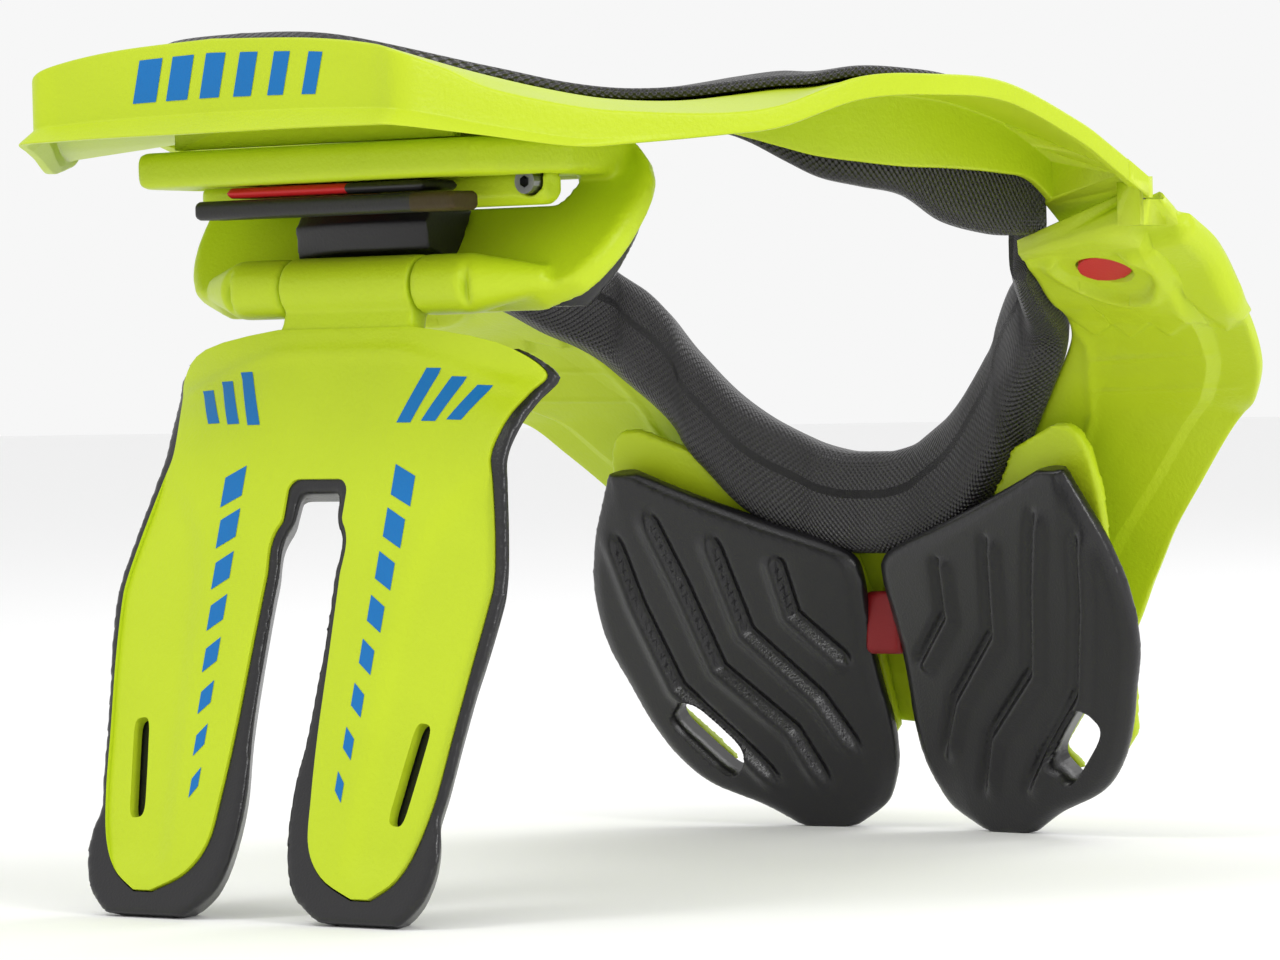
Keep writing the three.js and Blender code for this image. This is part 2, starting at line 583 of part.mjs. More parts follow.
// One layer of the strut's body or of a leg. rim and tail widen and lengthen it, tuck is how far
// the edges of its forward face are drawn in, edgeOut where they start, grow widens it evenly.
function strutLayer(rows, { rim = 0, tail = 0, grow = 0, near, edgeOut, far, soft, tuck }, side) {
  return skin(rows.map((row) => {
    const edge = row.edge * STRUT_HALF_WIDTH + rim * row.rim + grow;
    const slot = Math.max(row.slot * STRUT_HALF_WIDTH - rim * row.slotRim - grow, 0.4);
    const along = row.along * STRUT_LENGTH + (tail * Math.max(0, row.along - 0.9)) / 0.1;
    const bend = (x) => row.wing * WING_BEND * Math.max(0, Math.abs(x) / STRUT_HALF_WIDTH - 0.35) ** 1.5 * 1.9;
    const place = (x, out) => onStrut(x, along, out - bend(x));
    if (side) {
      const [a, b] = [side * slot, side * edge];
      return [
        place(a + side * tuck, near), place(b - side * tuck, near), place(b, edgeOut),
        place(b, far - soft), place(b - side * soft, far), place(a + side * soft, far), place(a, far - soft),
        place(a, edgeOut),
      ];
    }
    const spread = [-1, -0.7, -0.35, 0.35, 0.7, 1].map((share) => share * (edge - soft));
    return [
      place(-edge, edgeOut), ...spread.map((x) => place(x * (1 - tuck / edge), near)), place(edge, edgeOut),
      place(edge, far - soft), ...spread.map((x) => place(x, far)).reverse(), place(-edge, far - soft),
    ];
  }));
}

const bodyRows = STRUT_ROWS.filter((row) => row.along <= FORK);
const LEG_START_SLOT = 0.17;
const legRows = STRUT_ROWS.filter((row) => row.along >= FORK - 0.05)
  .map((row) => ({ ...row, slot: Math.max(row.slot, LEG_START_SLOT) }));

function strutPiece(sizes) {
  const legs = [1, -1].map((side) => toSolid(strutLayer(legRows, sizes, side)));
  return toSolid(strutLayer(bodyRows, sizes, 0)).add(legs[0]).add(legs[1]);
}

// The pad's rim just under the fork
function forkBand(near, far) {
  const half = 0.2 * STRUT_HALF_WIDTH;
  const corners = [[-half, near], [half, near], [half, far], [-half, far]];
  return skin([FORK * STRUT_LENGTH - 4, FORK * STRUT_LENGTH + PAD_RIM].map(
    (along) => corners.map(([x, out]) => onStrut(x, along, out)),
  ));
}

const STRAP_SLOT = { across: 0.74, along: 0.8, length: 22, width: 3.4, turn: 0.16 }; // across, along: shares

function strapSlots(near, far) {
  return [1, -1].map((side) => {
    const { across, along, length, width, turn } = STRAP_SLOT;
    const [dx, dy] = [Math.sin(turn), Math.cos(turn)];
    const corners = [[-1, -1], [1, -1], [1, 1], [-1, 1]].map(([u, v]) => [
      across * STRUT_HALF_WIDTH + (u * width * dy - v * length * dx) / 2,
      along * STRUT_LENGTH + (v * length * dy + u * width * dx) / 2,
    ]);
    return skin([near - 2, far + 2].map((out) => corners.map(([x, y]) => onStrut(side * x, y, out))));
  });
}

function floorTrim(solid) {
  return solid.subtract(toSolid(box(-BEYOND, BEYOND, -BEYOND, BEYOND, -BEYOND, -STRUT_DROP)));
}

function buildStrutShell() {
  const [near, far, soft] = [STRUT_FACE - STRUT_THICK, STRUT_FACE, 0.8];
  const plate = strutPiece({ near, edgeOut: near + soft, far, soft, tuck: soft });
  const knuckle = bar(vec(-KNUCKLE_HALF_SPAN, 0, 0), vec(KNUCKLE_HALF_SPAN, 0, 0), BARREL_RADIUS, 24);
  const neck = skin([0, 0.1 * STRUT_LENGTH].map((along) => [
    onStrut(-KNUCKLE_HALF_SPAN, along, -3), onStrut(KNUCKLE_HALF_SPAN, along, -3),
    onStrut(KNUCKLE_HALF_SPAN, along, STRUT_FACE), onStrut(-KNUCKLE_HALF_SPAN, along, STRUT_FACE),
  ]));
  const bore = hingeBore();
  const whole = plate.add(toSolid(knuckle)).add(toSolid(neck));
  return floorTrim(cut(whole, bore, ...strapSlots(near, far)));
}

// The pad's rim stands up round the strut, which sits in it
function buildStrutPad() {
  const seat = STRUT_FACE - STRUT_THICK - GAP;
  const [near, far] = [seat - STRUT_PAD_THICK, STRUT_FACE - 0.6];
  const pad = strutPiece({ rim: PAD_RIM, tail: 5, near, edgeOut: far - 1.2, far, soft: 0.6, tuck: 7 });
  const whole = pad.add(toSolid(forkBand(near + 2, far)));
  const room = strutPiece({
    tail: GAP, grow: GAP, near: seat, edgeOut: seat + 1, far: far + 12, soft: 0.1, tuck: 0,
  });
  const clearHinge = box(-BEYOND, BEYOND, -BEYOND, BEYOND, -STRUT_PAD_TOP, BEYOND);
  return floorTrim(cut(whole, clearHinge).subtract(room));
}

// Front half of the ring, from a side seam to the middle of the chest.
// out, fore, fall: outer edge as shares of half width, chest reach and bib drop below the hinge.
// in, near, sink: the inner edge likewise. flange: height of the outer edge. collar: pad height.
const FRONT_ROWS = named(
  ['out', 'fore', 'fall', 'in', 'near', 'sink', 'flange', 'collar'],
  [
    [1.0, 0.019, -0.184, 0.69, 0.06, -0.04, 1.0, 0.45],
    [1.0, 0.152, -0.113, 0.66, 0.163, -0.01, 1.0, 0.5],
    [1.0, 0.283, -0.052, 0.631, 0.272, 0.0236, 1.0, 0.62],
    [1.0, 0.376, 0.037, 0.607, 0.38, 0.066, 0.92, 0.72],
    [0.988, 0.484, 0.097, 0.582, 0.489, 0.099, 0.85, 0.82],
    [0.959, 0.598, 0.189, 0.549, 0.571, 0.142, 0.72, 0.9],
    [0.906, 0.685, 0.262, 0.492, 0.636, 0.208, 0.6, 0.98],
    [0.848, 0.755, 0.297, 0.434, 0.685, 0.283, 0.5, 1.0],
    [0.782, 0.799, 0.362, 0.377, 0.717, 0.368, 0.45, 1.0],
    [0.701, 0.857, 0.452, 0.311, 0.745, 0.448, 0.43, 1.0],
    [0.623, 0.902, 0.552, 0.23, 0.777, 0.509, 0.43, 0.96],
    [0.557, 0.946, 0.66, 0.148, 0.804, 0.547, 0.43, 0.92],
    [0.475, 0.967, 0.82, 0.074, 0.815, 0.566, 0.43, 0.9],
    [0.328, 0.989, 0.925, 0.035, 0.818, 0.57, 0.43, 0.9],
    [0.164, 1.0, 0.98, 0.015, 0.818, 0.57, 0.43, 0.9],
    [0.0, 1.0, 1.0, 0.0, 0.818, 0.57, 0.43, 0.9],
  ],
);

function frontStation(row) {
  const outer = vec(row.out * RING_HALF_WIDTH, SEAM_REACH + row.fore * CHEST_REACH, -row.fall * BIB_DROP);
  const inner = vec(row.in * RING_HALF_WIDTH, SEAM_REACH + row.near * CHEST_REACH, -row.sink * BIB_DROP);
  return { row, outer, inner };
}

const FRONT_STEPS = 2;
const frontStations = refine(FRONT_ROWS, FRONT_STEPS).map(frontStation);
frontStations.forEach((station, i) => {
  const before = frontStations[Math.max(0, i - 1)];
  const after = frontStations[Math.min(frontStations.length - 1, i + 1)];
  const run = after.outer.clone().add(after.inner).sub(before.outer).sub(before.inner);
  const across = station.outer.clone().sub(station.inner).normalize();
  if (i === frontStations.length - 1) run.set(-1, 0, 0);
  station.run = run.clone().normalize();
  station.across = across;
  station.hidden = across.clone().cross(station.run).normalize();
  station.inward = vec(-station.run.y, station.run.x, 0).normalize();
});

// The side seen from behind: depth below the hidden side, across the width from the outer edge
const FRONT_SECTION = named(['across', 'deep'], [
  [0.0, 0.62], [0.2, 0.62], [0.26, 1.0], [0.5, 0.8], [0.75, 0.62],
]);

function frontRing({ row, outer, inner, across, hidden }) {
  const flange = row.flange * SHOULDER_FLANGE;
  const top = inner.clone().addScaledVector(hidden, FRONT_WALL);
  const seen = FRONT_SECTION.map((spot) => outer.clone().lerp(top, spot.across)
    .addScaledVector(hidden, -Math.max(spot.deep * flange, 0.75 * FRONT_WALL)));
  const rim = [outer.clone().addScaledVector(across, -1), outer.clone().addScaledVector(hidden, -1)];
  return [...rim, ...seen, inner, top];
}

function buildFrontFrame() {
  let frame = toSolid(skin(bothSides([...frontStations].reverse().map(frontRing))));
  [1, -1].forEach((side) => {
    const pinPoint = (z) => vec(side * PIN_X, PIN_Y, z);
    const hook = bar(pinPoint(HOOK_FOOT), pinPoint(EYE_SPLIT - GAP), EYE_RADIUS);
    const arm = box(...acrossEye(side), PIN_Y, PIN_Y + 6, HOOK_FOOT, EYE_SPLIT - GAP);
    const clear = bar(pinPoint(EYE_SPLIT - GAP), pinPoint(EYE_TOP + 9), EYE_RADIUS + CORNER_ROOM);
    const bore = bar(pinPoint(HOOK_FOOT - 1), pinPoint(EYE_TOP + 9), PIN_RADIUS + GAP);
    const mouthHalf = PIN_RADIUS + GAP;
    const mouth = box(
      side * PIN_X - mouthHalf, side * PIN_X + mouthHalf, PIN_Y - 5, PIN_Y, HOOK_FOOT - 1, EYE_SPLIT + 1,
    );
    frame = frame.add(toSolid(hook)).add(toSolid(arm));
    frame = cut(frame, clear, bore, mouth, buttonWell(side));
  });
  return frame;
}

const COLLAR_SIDES = 8;
const COLLAR_BOXY = 0.62; // below 1 the collar's section is squarer than an ellipse
function collarRing({ row, inner, inward }) {
  const half = (row.collar * FRONT_COLLAR_HEIGHT) / 2;
  const thick = (FRONT_COLLAR_THICK * (1.3 * row.collar - 0.3)) / 2;
  const centre = inner.clone().addScaledVector(inward, thick + GAP).addScaledVector(UP, half * 0.64);
  const boxy = (value) => Math.sign(value) * Math.abs(value) ** COLLAR_BOXY;
  return [...Array(COLLAR_SIDES).keys()].map((k) => {
    const turn = ((k + 0.5) / COLLAR_SIDES) * 2 * Math.PI;
    return beside(centre, inward, boxy(Math.cos(turn)) * thick, boxy(Math.sin(turn)) * half);
  });
}

// Buttons sit in wells under the shoulders
const BUTTON_PLACE = { x: 0.8, y: 0.215 }; // shares of half width and chest reach
function underShoulder(x, y) {
  const low = frontStations.map((station) => {
    const t = (station.outer.x - x) / (station.outer.x - station.inner.x);
    return { station, t, y: station.outer.y + (station.inner.y - station.outer.y) * t };
  });
  const next = Math.max(1, low.findIndex((entry) => entry.y >= y));
  const { station, t } = low[next];
  const flange = station.row.flange * SHOULDER_FLANGE;
  const deep = flange * (t < 0.5 ? 0.9 : 0.7) - FRONT_WALL * t;
  const base = station.outer.clone().lerp(station.inner, t);
  return { point: base.addScaledVector(station.hidden, -deep), normal: station.hidden.clone().negate() };
}

const buttonSeat = underShoulder(BUTTON_PLACE.x * RING_HALF_WIDTH, SEAM_REACH + BUTTON_PLACE.y * CHEST_REACH);
const buttonPoint = (side, depth) => {
  const point = buttonSeat.point.clone().addScaledVector(buttonSeat.normal, depth);
  return vec(side * point.x, point.y, point.z);
};
const BUTTON_THICK = 1.6;
const BUTTON_PROUD = 0.5;
function buttonWell(side) {
  return bar(buttonPoint(side, -BUTTON_THICK - BUTTON_TRAVEL), buttonPoint(side, 12), BUTTON_RADIUS + GAP);
}
function buildButton(side) {
  return bar(buttonPoint(side, BUTTON_PROUD - BUTTON_THICK), buttonPoint(side, BUTTON_PROUD), BUTTON_RADIUS);
}

// Chest pads lie in a plane that faces back, down and a little inward
const CHEST_FACE = vec(-0.124, -0.941, -0.315).normalize();
const CHEST_CORNER = vec(
  0.856 * CHEST_PAD_WIDTH, SEAM_REACH + 0.9 * CHEST_REACH - CHEST_PAD_SETBACK, -CHEST_PAD_TOP,
);
const CHEST_PAD_HEIGHT = STRUT_DROP - CHEST_PAD_TOP;

// Outline of a chest pad, level by level: in and out are shares of the pad's width from the middle
const CHEST_ROWS = named(['down', 'in', 'out', 'body'], [
  [0.0, 0.79, 0.895, 0.5],
  [0.05, 0.645, 0.925, 0.75],
  [0.1, 0.49, 0.955, 0.9],
  [0.15, 0.325, 0.985, 1.0],
  [0.2, 0.15, 1.01, 1.0],
  [0.24, 0.06, 1.025, 1.0],
  [0.3, 0.04, 1.045, 1.0],
  [0.4, 0.05, 1.055, 1.0],
  [0.5, 0.058, 1.04, 1.0],
  [0.6, 0.053, 0.995, 1.0],
  [0.7, 0.045, 0.95, 1.0],
  [0.8, 0.054, 0.88, 0.98],
  [0.88, 0.09, 0.775, 0.92],
  [0.94, 0.14, 0.595, 0.85],
  [1.0, 0.26, 0.465, 0.7],
]);

function chestPoint(side, x, down, out) {
  const z = -CHEST_PAD_TOP - down * CHEST_PAD_HEIGHT;
  const y = CHEST_CORNER.y
    - (CHEST_FACE.x * (x - CHEST_CORNER.x) + CHEST_FACE.z * (z - CHEST_CORNER.z)) / CHEST_FACE.y;
  return vec(side * (x + CHEST_FACE.x * out), y + CHEST_FACE.y * out, z + CHEST_FACE.z * out);
}

// One layer of a chest pad or plate: edge is its thickness at the rim, crown what it rises in the
// middle, back how far it swells behind
function chestLayer(side, rows, { face, edge, crown, back }) {
  return skin(rows.map((row) => {
    const [a, b] = [row.in * CHEST_PAD_WIDTH, row.out * CHEST_PAD_WIDTH];
    const soft = Math.min(3, (b - a) / 4);
    const tuck = Math.min(7, (b - a) / 3);
    const mid = crown > 0 ? [0.3, 0.5, 0.7].map((t) => a + (b - a) * t) : [];
    const rise = crown * row.body;
    return [
      chestPoint(side, a, row.down, face - edge), chestPoint(side, a, row.down, face),
      chestPoint(side, a + soft, row.down, face + rise * 0.7),
      ...mid.map((x) => chestPoint(side, x, row.down, face + rise)),
      chestPoint(side, b - soft, row.down, face + rise * 0.7), chestPoint(side, b, row.down, face),
      chestPoint(side, b, row.down, face - edge),
      chestPoint(side, b - tuck, row.down, face - edge - back * row.body),
      chestPoint(side, a + tuck, row.down, face - edge - back * row.body),
    ];
  }));
}

const PAD_EDGE = 2.6;
const PAD_CROWN = 2.2;
const PAD_HOLE = { x: 0.726 * CHEST_PAD_WIDTH, down: 0.745, length: 21, width: 10, turn: 0.8 };

function buildChestPad(side) {
  const pad = chestLayer(side, CHEST_ROWS, {
    face: 0, edge: PAD_EDGE, crown: PAD_CROWN, back: CHEST_PAD_THICK - PAD_EDGE - PAD_CROWN,
  });
  return floorTrim(cut(toSolid(pad), padHole(side, 0)));
}

// The hole through a pad and its plate, wider by so much
function padHole(side, wider) {
  const { x, down, turn } = PAD_HOLE;
  const [length, width] = [PAD_HOLE.length + wider, PAD_HOLE.width + wider];
  return skin([-20, 8].map((out) => [[-1, -1], [1, -1], [1, 1], [-1, 1]].map(([u, v]) => chestPoint(
    side,
    x + (v * length * Math.cos(turn) + u * width * Math.sin(turn)) / 2,
    down + (u * width * Math.cos(turn) - v * length * Math.sin(turn)) / 2 / CHEST_PAD_HEIGHT,
    out,
  ))));
}

// Outline of the plate behind a pad, with the lug that shows over the pad's outer corner
const CHEST_PLATE_ROWS = named(['down', 'in', 'out', 'body'], [
  [-0.09, 0.8, 0.87, 0],
  [-0.07, 0.74, 0.9, 0],
  [-0.03, 0.62, 0.925, 0],
  [0.02, 0.5, 0.935, 0],
  [0.08, 0.4, 0.94, 0],
  [0.15, 0.3, 0.935, 0],
  [0.2, 0.18, 0.925, 0],
  [0.26, 0.1, 0.92, 0],
  [0.4, 0.075, 0.93, 0],
  [0.6, 0.08, 0.92, 0],
  [0.75, 0.08, 0.88, 0],
  [0.85, 0.2, 0.76, 0],
]);
const POST = { x: 34, down: 0.3, radius: 5 };
function buildChestPlate(side) {
  const back = PAD_CROWN - CHEST_PAD_THICK - GAP;
  const plate = cut(toSolid(chestLayer(side, CHEST_PLATE_ROWS, {
    face: back, edge: CHEST_PLATE_THICK, crown: 0, back: 0,
  })), padHole(side, 1));
  const from = chestPoint(side, POST.x, POST.down, back - 1);
  const to = chestPoint(side, POST.x, POST.down, back - 30);
  const post = toSolid(bar(from, to, POST.radius, 16));
  return plate.add(post.subtract(behindFrame()));
}

// Everything in front of the front half's back face, where a post has to stop
function behindFrame() {
  return toSolid(skin(bothSides([...frontStations].reverse().map(({ outer, inner, across, row }) => {
    const back = vec(0, -row.flange * SHOULDER_FLANGE - GAP, 0);
    const front = vec(0, 60, 0);
    const [high, low] = [outer.clone().addScaledVector(across, 10), inner.clone().addScaledVector(across, -16)];
    return [high.clone().add(back), low.clone().add(back), low.clone().add(front), high.clone().add(front)];
  }))));
}

// The bib's back face at the height of the front adjuster
const midStation = frontStations[frontStations.length - 1];
const midRing = frontRing(midStation);
function bibBack(z) {
  const [a, b] = [midRing[4], midRing[3]];
  return a.y + ((b.y - a.y) * (z - a.z)) / (b.z - a.z);
}
const FRONT_ADJUSTER_FACE = Math.min(bibBack(FRONT_ADJUSTER.low), bibBack(FRONT_ADJUSTER.top)) - GAP;

const frontFrame = buildFrontFrame();
const frontCollar = toSolid(skin(bothSides(frontStations.slice(1).reverse().map(collarRing))));

const frontPieces = [frontCollar, frontFrame, toSolid(buildFrontAdjuster())];

const CLEAR_SWINGS = [1, 3, 5]; // degrees
function swungAbout(solid, side, degrees) {
  return toSolid(toGeometry(solid).translate(side * PIN_X, -PIN_Y, 0)
    .rotateZ(side * THREE.MathUtils.degToRad(degrees)).translate(-side * PIN_X, PIN_Y, 0));
}

// The pad stops short of the front half where the two meet, also while the front starts to swing
function buildRearCollar() {
  const pad = toSolid(skin(bothSides(rearStations.slice(0, -1).map(collarPadRing))));
  const still = clearOf(pad, [frontFrame, frontCollar], UP_AND_BACK);
  const swung = [1, -1].flatMap((side) => CLEAR_SWINGS.flatMap((degrees) => [frontFrame, frontCollar].map(
    (front) => swungAbout(front, side, degrees),
  )));
  return swung.reduce((rest, front) => rest.subtract(front), still);
}

addPart('rear_table', buildTable(), LIME);
addPart('rear_wall', buildWall(), LIME);
addPart('rear_frame', buildFrame(), LIME);
addPart('rear_collar_pad', buildRearCollar(), MESH_FABRIC);
addPart('rear_neck_pad', buildNeckPad(), FOAM);
addPart('strut_shell', buildStrutShell(), LIME);
addPart('strut_pad', buildStrutPad(), FOAM);
addPart('front_frame', frontFrame, LIME);
addPart('front_collar_pad', frontCollar, MESH_FABRIC);
addPart('adjuster_arm', buildArm(), LIME);
addPart('adjuster_slider', roundedBlock(SLIDER, 1), RED);
addPart('adjuster_strip', roundedBlock(STRIP, 0.8), BLACK_PLASTIC);
addPart('adjuster_bolt', buildBolt(), STEEL);
addPart('angle_wedge', buildWedge(), BLACK_PLASTIC);
addPart('front_adjuster', buildFrontAdjuster(), RED);
const HINGE_PIN_HALF = BARREL_HALF_SPAN - 1;
addPart('hinge_pin', bar(vec(-HINGE_PIN_HALF, 0, 0), vec(HINGE_PIN_HALF, 0, 0), HINGE_PIN_RADIUS, 16), STEEL);
[['right', 1], ['left', -1]].forEach(([name, side]) => {
  addPart(`chest_pad_${name}`, clearOf(buildChestPad(side), frontPieces, DOWN_AND_BACK), FOAM);
  addPart(`chest_plate_${name}`, clearOf(buildChestPlate(side), frontPieces, DOWN_AND_BACK), LIME);
  const pinEnds = [PIN_FOOT, EYE_TOP - 1 - GAP].map((z) => vec(side * PIN_X, PIN_Y, z));
  addPart(`side_pin_${name}`, bar(...pinEnds, PIN_RADIUS, 12), STEEL);
  addPart(`button_${name}`, buildButton(side), RED);
});

// The lowest face stands on the floor, the middle of the outline is over the origin
const bounds = new THREE.Box3().setFromObject(root);
root.position.set(0, -(bounds.min.y + bounds.max.y) / 2, STRUT_DROP);

export default root;
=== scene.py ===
"""Motocross neck brace: smooth moulded shells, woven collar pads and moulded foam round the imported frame."""

import json
import math

import bmesh
import bpy
import numpy as np
from mathutils import Matrix, Vector


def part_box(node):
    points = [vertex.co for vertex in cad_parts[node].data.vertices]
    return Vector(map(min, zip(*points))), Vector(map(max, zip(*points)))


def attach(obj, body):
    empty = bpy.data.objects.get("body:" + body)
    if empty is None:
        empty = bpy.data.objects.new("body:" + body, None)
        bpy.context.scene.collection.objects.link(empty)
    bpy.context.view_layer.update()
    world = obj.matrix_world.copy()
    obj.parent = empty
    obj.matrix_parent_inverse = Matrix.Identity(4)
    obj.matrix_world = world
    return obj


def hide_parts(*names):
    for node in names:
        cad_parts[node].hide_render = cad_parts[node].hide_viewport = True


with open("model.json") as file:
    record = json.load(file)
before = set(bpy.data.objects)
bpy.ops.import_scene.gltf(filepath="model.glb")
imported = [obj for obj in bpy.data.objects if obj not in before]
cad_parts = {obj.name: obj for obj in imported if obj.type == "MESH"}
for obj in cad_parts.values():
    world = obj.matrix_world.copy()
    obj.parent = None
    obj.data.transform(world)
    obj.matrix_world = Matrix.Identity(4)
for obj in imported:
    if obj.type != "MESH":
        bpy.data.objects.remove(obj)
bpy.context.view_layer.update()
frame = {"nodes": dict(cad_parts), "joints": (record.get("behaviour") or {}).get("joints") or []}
nodes = frame["nodes"]
MM = 0.001
STRUT_JOINT = [j for j in frame["joints"] if j["name"] == "strut_fold"][0]
HINGE = np.array(STRUT_JOINT["pos_m"]) / MM  # the strut hinge, which every size below starts from

# Sizes, as in the solids, in mm
RING_HALF_WIDTH, TABLE_REACH, SEAM_REACH, TABLE_CREST = 122.0, 46.0, 121.0, 52.0
FASCIA_HEIGHT, SHELL_WALL, LIP_FLARE, WALL_DROP = 20.0, 2.8, 5.0, 20.0
CHEST_REACH, BIB_DROP, FRONT_WALL, SHOULDER_FLANGE = 92.0, 106.0, 3.4, 7.0
FLANGE_TOP, STRUT_HALF_WIDTH, STRUT_LENGTH, STRUT_THICK = 30.0, 50.0, 132.5, 3.6
STRUT_LEAN, STRUT_FACE, STRUT_PAD_THICK, PAD_RIM = math.radians(17), 3.0, 7.0, 2.9
COLLAR_PAD_THICK, FLAP_THICK, FLAP_RISE = 9.0, 2.6, 5.0
FRONT_COLLAR_THICK, FRONT_COLLAR_HEIGHT, COLLAR_BOXY = 13.0, 27.0, 0.62
CHEST_PAD_WIDTH, CHEST_PAD_TOP, CHEST_PAD_THICK = 73.0, 45.0, 9.0
STRUT_DROP, GAP = 131.8, 0.35
RING_LENGTH = TABLE_REACH + SEAM_REACH
SEAT = FLANGE_TOP + GAP
UP = np.array([0.0, 0.0, 1.0])


def named(keys, rows):
    return [dict(zip(keys, row)) for row in rows]


REAR_ROWS = named(
    ["out", "back", "rise", "rim", "in", "fore", "lift", "drop", "flare", "flap", "pad", "puff"],
    [
        (0.0, 0.0, 0.996, 0.99, 0.0, 0.479, 0.731, 0.0, 1.0, 0.92, 0.0, 0.4),
        (0.205, 0.0, 0.975, 0.935, 0.131, 0.487, 0.731, 0.0, 1.0, 0.88, 0.0, 0.4),
        (0.344, 0.0, 0.937, 0.845, 0.23, 0.506, 0.731, 0.0, 1.0, 0.45, 0.0, 0.2),
        (0.41, 0.0, 0.892, 0.74, 0.295, 0.524, 0.715, 0.0, 0.95, 0.27, 0.0, 0.1),
        (0.459, 0.045, 0.823, 0.62, 0.352, 0.545, 0.71, -0.04, 0.8, 0.2, -0.02, 0.1),
        (0.505, 0.089, 0.745, 0.48, 0.402, 0.568, 0.72, -0.08, 0.6, 0.18, -0.05, 0.2),
        (0.594, 0.17, 0.672, 0.41, 0.451, 0.593, 0.74, -0.08, 0.3, 0.17, -0.04, 0.4),
        (0.656, 0.228, 0.648, 0.32, 0.492, 0.62, 0.76, 0.0, 0.1, 0.16, 0.07, 0.5),
        (0.746, 0.311, 0.637, 0.225, 0.541, 0.659, 0.785, 0.13, 0.0, 0.15, 0.3, 0.4),
        (0.811, 0.377, 0.665, 0.222, 0.578, 0.695, 0.79, 0.23, 0.0, 0.15, 0.465, 0.1),
        (0.888, 0.468, 0.775, 0.237, 0.623, 0.743, 0.808, 0.3, 0.0, 0.13, 0.565, 0.05),
        (0.941, 0.575, 0.788, 0.22, 0.66, 0.802, 0.798, 0.355, 0.0, 0.12, 0.665, 0.05),
        (0.974, 0.7, 0.76, 0.21, 0.689, 0.868, 0.769, 0.375, 0.0, 0.12, 0.95, 0.05),
        (0.994, 0.84, 0.613, 0.217, 0.717, 0.952, 0.692, 0.425, 0.0, 0.12, 1.09, 0.05),
        (1.0, 0.916, 0.506, 0.232, 0.732, 1.012, 0.596, 0.515, 0.0, 0.12, 1.11, 0.05),
        (1.0, 1.0, 0.383, 0.232, 0.746, 1.072, 0.481, 0.915, 0.0, 0.12, 1.1, 0.05),
    ],
)
STRUT_ROWS = named(
    ["along", "edge", "slot", "wing", "rim", "slotRim"],
    [
        (0.075, 0.36, 0.0, 0.0, 0.7, 1),
        (0.1, 0.8, 0.0, 0.5, 0.7, 1),
        (0.136, 0.99, 0.0, 1.0, 0.8, 1),
        (0.175, 0.95, 0.0, 0.85, 0.9, 1),
        (0.22, 0.9, 0.0, 0.55, 1.1, 1),
        (0.28, 0.87, 0.0, 0.3, 1.2, 1),
        (0.325, 0.9, 0.0, 0.25, 1.1, 1.2),
        (0.41, 0.96, 0.195, 0.2, 1.0, 0.85),
        (0.485, 1.0, 0.205, 0.15, 1.0, 0.85),
        (0.53, 1.0, 0.21, 0.1, 1.0, 0.85),
        (0.63, 0.97, 0.22, 0.05, 0.85, 1.0),
        (0.74, 0.93, 0.23, 0.05, 0.4, 1.3),
        (0.84, 0.895, 0.25, 0.05, 0.3, 2.1),
        (0.92, 0.84, 0.28, 0.0, 2.0, 2.3),
        (0.97, 0.76, 0.38, 0.0, 2.6, 2.8),
        (1.0, 0.64, 0.55, 0.0, 2.8, 3.1),
    ],
)
FRONT_ROWS = named(
    ["out", "fore", "fall", "in", "near", "sink", "flange", "collar"],
    [
        (1.0, 0.019, -0.184, 0.69, 0.06, -0.04, 1.0, 0.45),
        (1.0, 0.152, -0.113, 0.66, 0.163, -0.01, 1.0, 0.5),
        (1.0, 0.283, -0.052, 0.631, 0.272, 0.0236, 1.0, 0.62),
        (1.0, 0.376, 0.037, 0.607, 0.38, 0.066, 0.92, 0.72),
        (0.988, 0.484, 0.097, 0.582, 0.489, 0.099, 0.85, 0.82),
        (0.959, 0.598, 0.189, 0.549, 0.571, 0.142, 0.72, 0.9),
        (0.906, 0.685, 0.262, 0.492, 0.636, 0.208, 0.6, 0.98),
        (0.848, 0.755, 0.297, 0.434, 0.685, 0.283, 0.5, 1.0),
        (0.782, 0.799, 0.362, 0.377, 0.717, 0.368, 0.45, 1.0),
        (0.701, 0.857, 0.452, 0.311, 0.745, 0.448, 0.43, 1.0),
        (0.623, 0.902, 0.552, 0.23, 0.777, 0.509, 0.43, 0.96),
        (0.557, 0.946, 0.66, 0.148, 0.804, 0.547, 0.43, 0.92),
        (0.475, 0.967, 0.82, 0.074, 0.815, 0.566, 0.43, 0.9),
        (0.328, 0.989, 0.925, 0.035, 0.818, 0.57, 0.43, 0.9),
        (0.164, 1.0, 0.98, 0.015, 0.818, 0.57, 0.43, 0.9),
        (0.0, 1.0, 1.0, 0.0, 0.818, 0.57, 0.43, 0.9),
    ],
)
CHEST_ROWS = named(
    ["down", "in", "out", "body"],
    [
        (0.0, 0.79, 0.895, 0.5),
        (0.05, 0.645, 0.925, 0.75),
        (0.1, 0.49, 0.955, 0.9),
        (0.15, 0.325, 0.985, 1.0),
        (0.2, 0.15, 1.01, 1.0),
        (0.24, 0.06, 1.025, 1.0),
        (0.3, 0.04, 1.045, 1.0),
        (0.4, 0.05, 1.055, 1.0),
        (0.5, 0.058, 1.04, 1.0),
        (0.6, 0.053, 0.995, 1.0),
        (0.7, 0.045, 0.95, 1.0),
        (0.8, 0.054, 0.88, 0.98),
        (0.88, 0.09, 0.775, 0.92),
        (0.94, 0.14, 0.595, 0.85),
        (1.0, 0.26, 0.465, 0.7),
    ],
)


